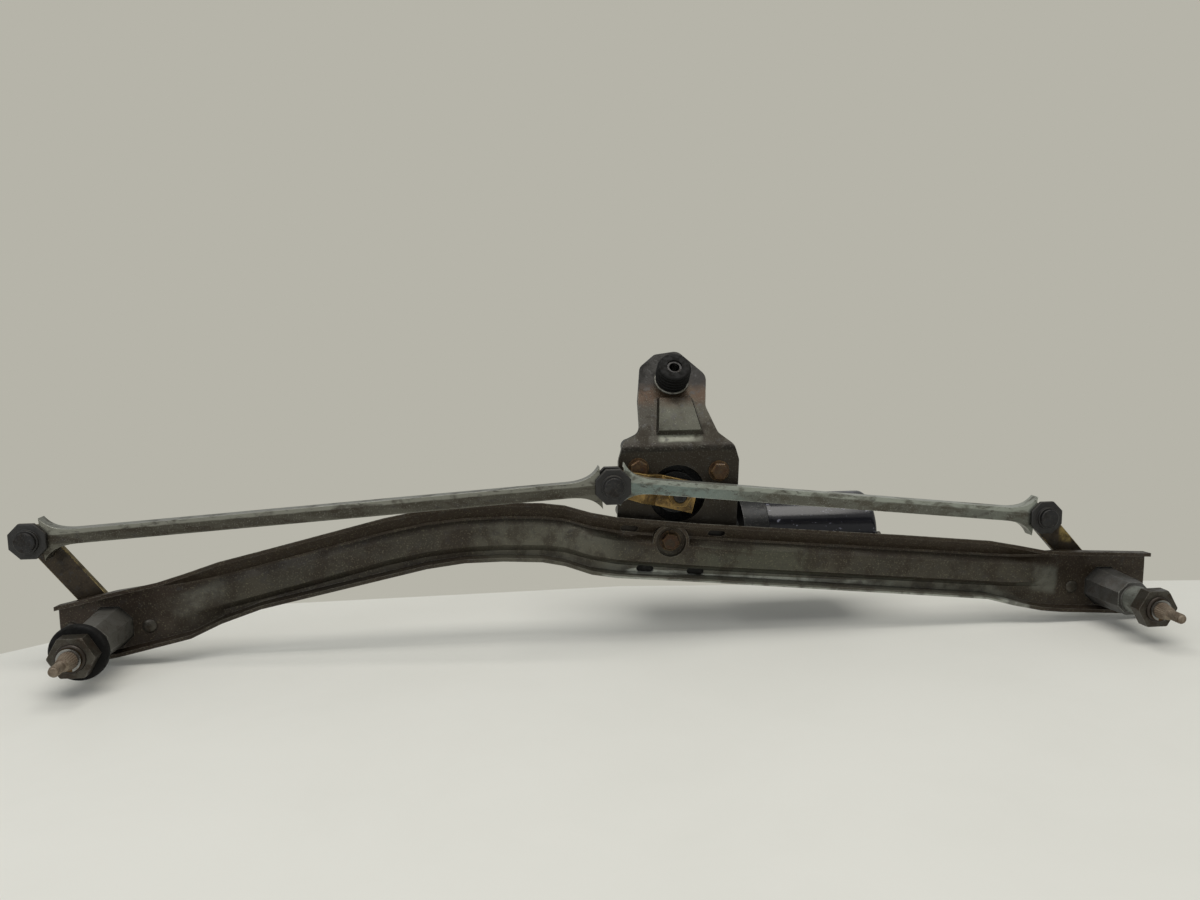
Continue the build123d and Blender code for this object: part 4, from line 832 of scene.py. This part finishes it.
def threadTree(look, inputs):
    # A rolled thread: a round ridge wound on a spiral that points at the viewer
    tree, sizes = newTree("studThread", inputs)
    turns = addNode(tree, "ShaderNodeMath", {"operation": "DIVIDE"}, {0: sizes["Length"], 1: sizes["Pitch"]})
    half = addNode(tree, "ShaderNodeMath", {"operation": "MULTIPLY", 1: look["ridgeShare"]}, {0: sizes["Thread Depth"]})
    middle = addNode(tree, "ShaderNodeMath", {"operation": "SUBTRACT"}, {0: sizes["Crest Radius"], 1: half})
    path = addNode(
        tree, "GeometryNodeCurveSpiral", {"Resolution": 24},
        {"Rotations": turns, "Start Radius": middle, "End Radius": middle, "Height": sizes["Length"]},
    )
    ridge = addNode(tree, "GeometryNodeCurvePrimitiveCircle", {"Resolution": 6}, {"Radius": half})
    wound = addNode(tree, "GeometryNodeCurveToMesh", {"Fill Caps": True}, {0: path, 1: ridge})
    return closeTree(tree, sizes, wound, tilt=math.pi / 2)


def turnedSpindle(name, x, look, material):
    # Rings of points round the spindle's axis; the cone's rings go in and out for the knurl
    core = look["stud"] - look["threadDepth"]
    rows = (
        (look["back"], look["shaft"] - look["chamfer"], 0), (look["back"] - look["chamfer"], look["shaft"], 0),
        (look["grooveBack"], look["shaft"], 0), (look["grooveBack"], look["groove"], 0),
        (look["grooveFront"], look["groove"], 0), (look["grooveFront"], look["shaft"], 0),
        (look["coneBack"], look["shaft"], 0),
        (look["coneBack"] - look["knurlIn"], look["coneRoot"], look["knurlDepth"]),
        (look["coneFront"] + look["knurlOut"], look["coneTip"] + look["coneFlare"], look["knurlDepth"]),
        (look["coneFront"], core + look["chamfer"], 0), (look["coneFront"] - look["shoulder"], core, 0),
        (look["tip"] + look["tipChamfer"], core, 0), (look["tip"], core - look["tipChamfer"], 0),
    )
    sides = 2 * look["knurlTeeth"]
    shape = bmesh.new()
    rings = []
    for depth, radius, notch in rows:
        ring = []
        for side in range(sides):
            angle = 2 * math.pi * side / sides
            reach = (radius - notch * (side % 2)) / 1000
            ring.append(shape.verts.new((x / 1000 + reach * math.cos(angle), depth / 1000, reach * math.sin(angle))))
        rings.append(ring)
    for back, front in zip(rings, rings[1:]):
        for side in range(sides):
            after = (side + 1) % sides
            shape.faces.new((back[side], back[after], front[after], front[side]))
    shape.faces.new(rings[0])
    shape.faces.new(rings[-1])
    bmesh.ops.recalc_face_normals(shape, faces=shape.faces)
    mesh = bpy.data.meshes.new(name + "TurnedMesh")
    shape.to_mesh(mesh)
    shape.free()
    mesh.shade_smooth()
    mesh.set_sharp_from_angle(angle=math.radians(look["smoothAngle"]))
    mesh.materials.append(material)
    piece = newObject(name + "Turned", mesh)
    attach(piece, name)
    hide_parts(name)
    dressed.add(name)


spindleFinish = platedMetal("rustTannedSteel", spindleLook)
threadSizes = {
    "Pitch": spindleLook["pitch"],
    "Length": spindleLook["coneFront"] - spindleLook["tip"] - spindleLook["threadShort"],
    "Crest Radius": spindleLook["stud"],
    "Thread Depth": spindleLook["threadDepth"],
}
studThread = threadTree(spindleLook, threadSizes)
for node in ("left_spindle", "right_spindle"):
    low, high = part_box(node)
    x = (low[0] + high[0]) * 500
    turnedSpindle(node, x, spindleLook, spindleFinish)
    growOn(
        node + "Thread", ((x, spindleLook["coneFront"] - spindleLook["threadStart"], 0.0),), studThread,
        threadSizes, spindleFinish, node, smoothAngle=80,
    )
print("spindles turned and threaded")


# Ribs moulded round the rubber grommet
ribLook = {"ring": 10.3, "rib": 0.75, "lifts": (4.6, 7.4, 10.2, 13.0)}


def ribTree(inputs):
    # Rings across the sleeve's axis, one on each point
    tree, sizes = newTree("grommetRib", inputs)
    path = addNode(tree, "GeometryNodeCurvePrimitiveCircle", {"Resolution": 64}, {"Radius": sizes["Ring Radius"]})
    section = addNode(tree, "GeometryNodeCurvePrimitiveCircle", {"Resolution": 12}, {"Radius": sizes["Rib Radius"]})
    ring = addNode(tree, "GeometryNodeCurveToMesh", {}, {0: path, 1: section})
    lean = addNode(tree, "ShaderNodeCombineXYZ", {}, {0: sizes["Lean"]})
    tipped = addNode(tree, "GeometryNodeTransform", {}, {"Geometry": ring, "Rotation": lean})
    return closeTree(tree, sizes, tipped)


# growOn takes every size in thousandths, so the angle in radians is given times a thousand
leanAngle = math.atan2(-earAxis.y, earAxis.z)
ribSizes = {"Ring Radius": ribLook["ring"], "Rib Radius": ribLook["rib"], "Lean": leanAngle * 1000}
growOn(
    "grommetRibs", [tuple((earFront + earAxis * lift / 1000) * 1000) for lift in ribLook["lifts"]],
    ribTree(ribSizes), ribSizes, rubberFinish, "frame",
)
print("grommet ribbed")

insideFinishes["dark_plastic"] = nylonFinish
insides = [node for node in nodes if node not in dressed]
for node in insides:
    keepNode(node, insideFinishes[slotOf[node]])
print("insides dressed:", len(insides))


stageLook = {
    "table": "#dfdfd9",
    "wall": "#b6b4a9",
    "tableDrop": -0.0222,  # just under the beam's end plates
    "wallFoot": ((-0.0769, 0.0571), (0.0164, 0.1388), (0.3193, 0.1516), (0.7559, 0.1044)),  # in X and Y
    "reach": 6.0, "middle": 0.3, "footBlend": 0.002, "rough": 0.55,
    "scuff": "#d5d5ce", "scuffSize": 120.0, "scuffShare": 0.35,
    "room": "#d3d4d0", "roomStrength": 0.55,
}


def makeTable(look):
    # Pale laminated table; past the wall's foot it is seen in the wall's colour
    mesh = bpy.data.meshes.new("tableTopMesh")
    far = look["reach"]
    corners = [(-far, -far, 0), (far, -far, 0), (far, far, 0), (-far, far, 0)]
    mesh.from_pydata([Vector(c) + Vector((look["middle"], 0, look["tableDrop"])) for c in corners], [], [(0, 1, 2, 3)])
    table = newObject("tableTop", mesh)
    material, tree = newFinish("paleTable")
    place = addNode(tree, "ShaderNodeTexCoord").outputs["Object"]
    behind = None
    for (x0, y0), (x1, y1) in zip(look["wallFoot"], look["wallFoot"][1:]):
        run = math.hypot(x1 - x0, y1 - y0)
        across = ((y0 - y1) / run, (x1 - x0) / run, 0)
        depth = addNode(
            tree, "ShaderNodeVectorMath", {"operation": "DOT_PRODUCT", 1: across}, {0: place}
        ).outputs["Value"]
        line = across[0] * x0 + across[1] * y0
        past = addNode(
            tree, "ShaderNodeMapRange", {"From Min": line, "From Max": line + look["footBlend"]}, {"Value": depth}
        )
        if behind:
            past = addNode(tree, "ShaderNodeMath", {"operation": "MAXIMUM"}, {0: behind, 1: past})
        behind = past
    scuffs = stainMask(tree, place, look["scuffSize"], low=0.3, high=0.8, detail=8.0)
    top = layOver(tree, look["table"], scuffs, look["scuffShare"], look["scuff"])
    diffuse = addNode(tree, "ShaderNodeBsdfPrincipled", {"Roughness": look["rough"]}, {"Base Color": top})
    seen = addNode(tree, "ShaderNodeLightPath")
    backdrop = addNode(tree, "ShaderNodeEmission", {"Color": linear(look["wall"]), "Strength": 1.0})
    looked = addNode(
        tree, "ShaderNodeMath", {"operation": "MAXIMUM"},
        {0: seen.outputs["Is Camera Ray"], 1: seen.outputs["Is Glossy Ray"]},
    )
    share = addNode(tree, "ShaderNodeMath", {"operation": "MULTIPLY"}, {0: behind, 1: looked})
    mixed = addNode(tree, "ShaderNodeMixShader", {}, {0: share, 1: diffuse, 2: backdrop})
    addNode(tree, "ShaderNodeOutputMaterial", {}, {"Surface": mixed})
    mesh.materials.append(material)


def makeRoom(look):
    world = bpy.data.worlds.new("softRoom")
    bpy.context.scene.world = world
    world.use_nodes = True
    tree = world.node_tree
    tree.nodes.clear()
    seen = addNode(tree, "ShaderNodeLightPath").outputs["Is Camera Ray"]
    room = addNode(tree, "ShaderNodeBackground", {"Color": linear(look["room"]), "Strength": look["roomStrength"]})
    wall = addNode(tree, "ShaderNodeBackground", {"Color": linear(look["wall"]), "Strength": 1.0})
    mixed = addNode(tree, "ShaderNodeMixShader", {}, {0: seen, 1: room, 2: wall})
    addNode(tree, "ShaderNodeOutputWorld", {}, {"Surface": mixed})


def hangLamp(name, place, target, size, power, colour):
    lamp = bpy.data.lights.new(name, "AREA")
    lamp.shape = "RECTANGLE"
    lamp.size, lamp.size_y = size
    lamp.energy = power
    lamp.color = linear(colour)[:3]
    holder = newObject(name, lamp)
    holder.location = place
    holder.rotation_euler = (Vector(target) - Vector(place)).to_track_quat("-Z", "Y").to_euler()


cameraLook = {
    "place": (0.23325, -0.529, 0.17324),
    "right": (0.99430, -0.10601, -0.01110),
    "down": (-0.02486, -0.12934, -0.99129),
    "lens": 27.9,
    "sensor": 36.0,
    "near": 0.02,
    "far": 50.0,
}


def setCamera(look):
    lens = bpy.data.cameras.new("photoCamera")
    lens.sensor_width = look["sensor"]
    lens.lens = look["lens"]
    lens.clip_start, lens.clip_end = look["near"], look["far"]
    camera = newObject("photoCamera", lens)
    right, down = Vector(look["right"]).normalized(), Vector(look["down"]).normalized()
    backward = right.cross(-down).normalized()
    turn = Matrix((right, -down, backward)).transposed()
    camera.matrix_world = Matrix.Translation(look["place"]) @ turn.to_4x4()
    bpy.context.scene.camera = camera


makeTable(stageLook)
makeRoom(stageLook)
hangLamp(
    "ceilingLight", place=(0.30, -0.25, 1.60), target=(0.32, 0.05, 0.0), size=(1.8, 0.9), power=18.0, colour="#fffcf7"
)
hangLamp(
    "windowFill", place=(-0.9, -1.3, 0.9), target=(0.3, 0.0, 0.0), size=(1.2, 1.0), power=7.0, colour="#f4f7ff"
)
setCamera(cameraLook)
bpy.context.scene.view_settings.view_transform = "Standard"
print("stage, lights and camera ready")
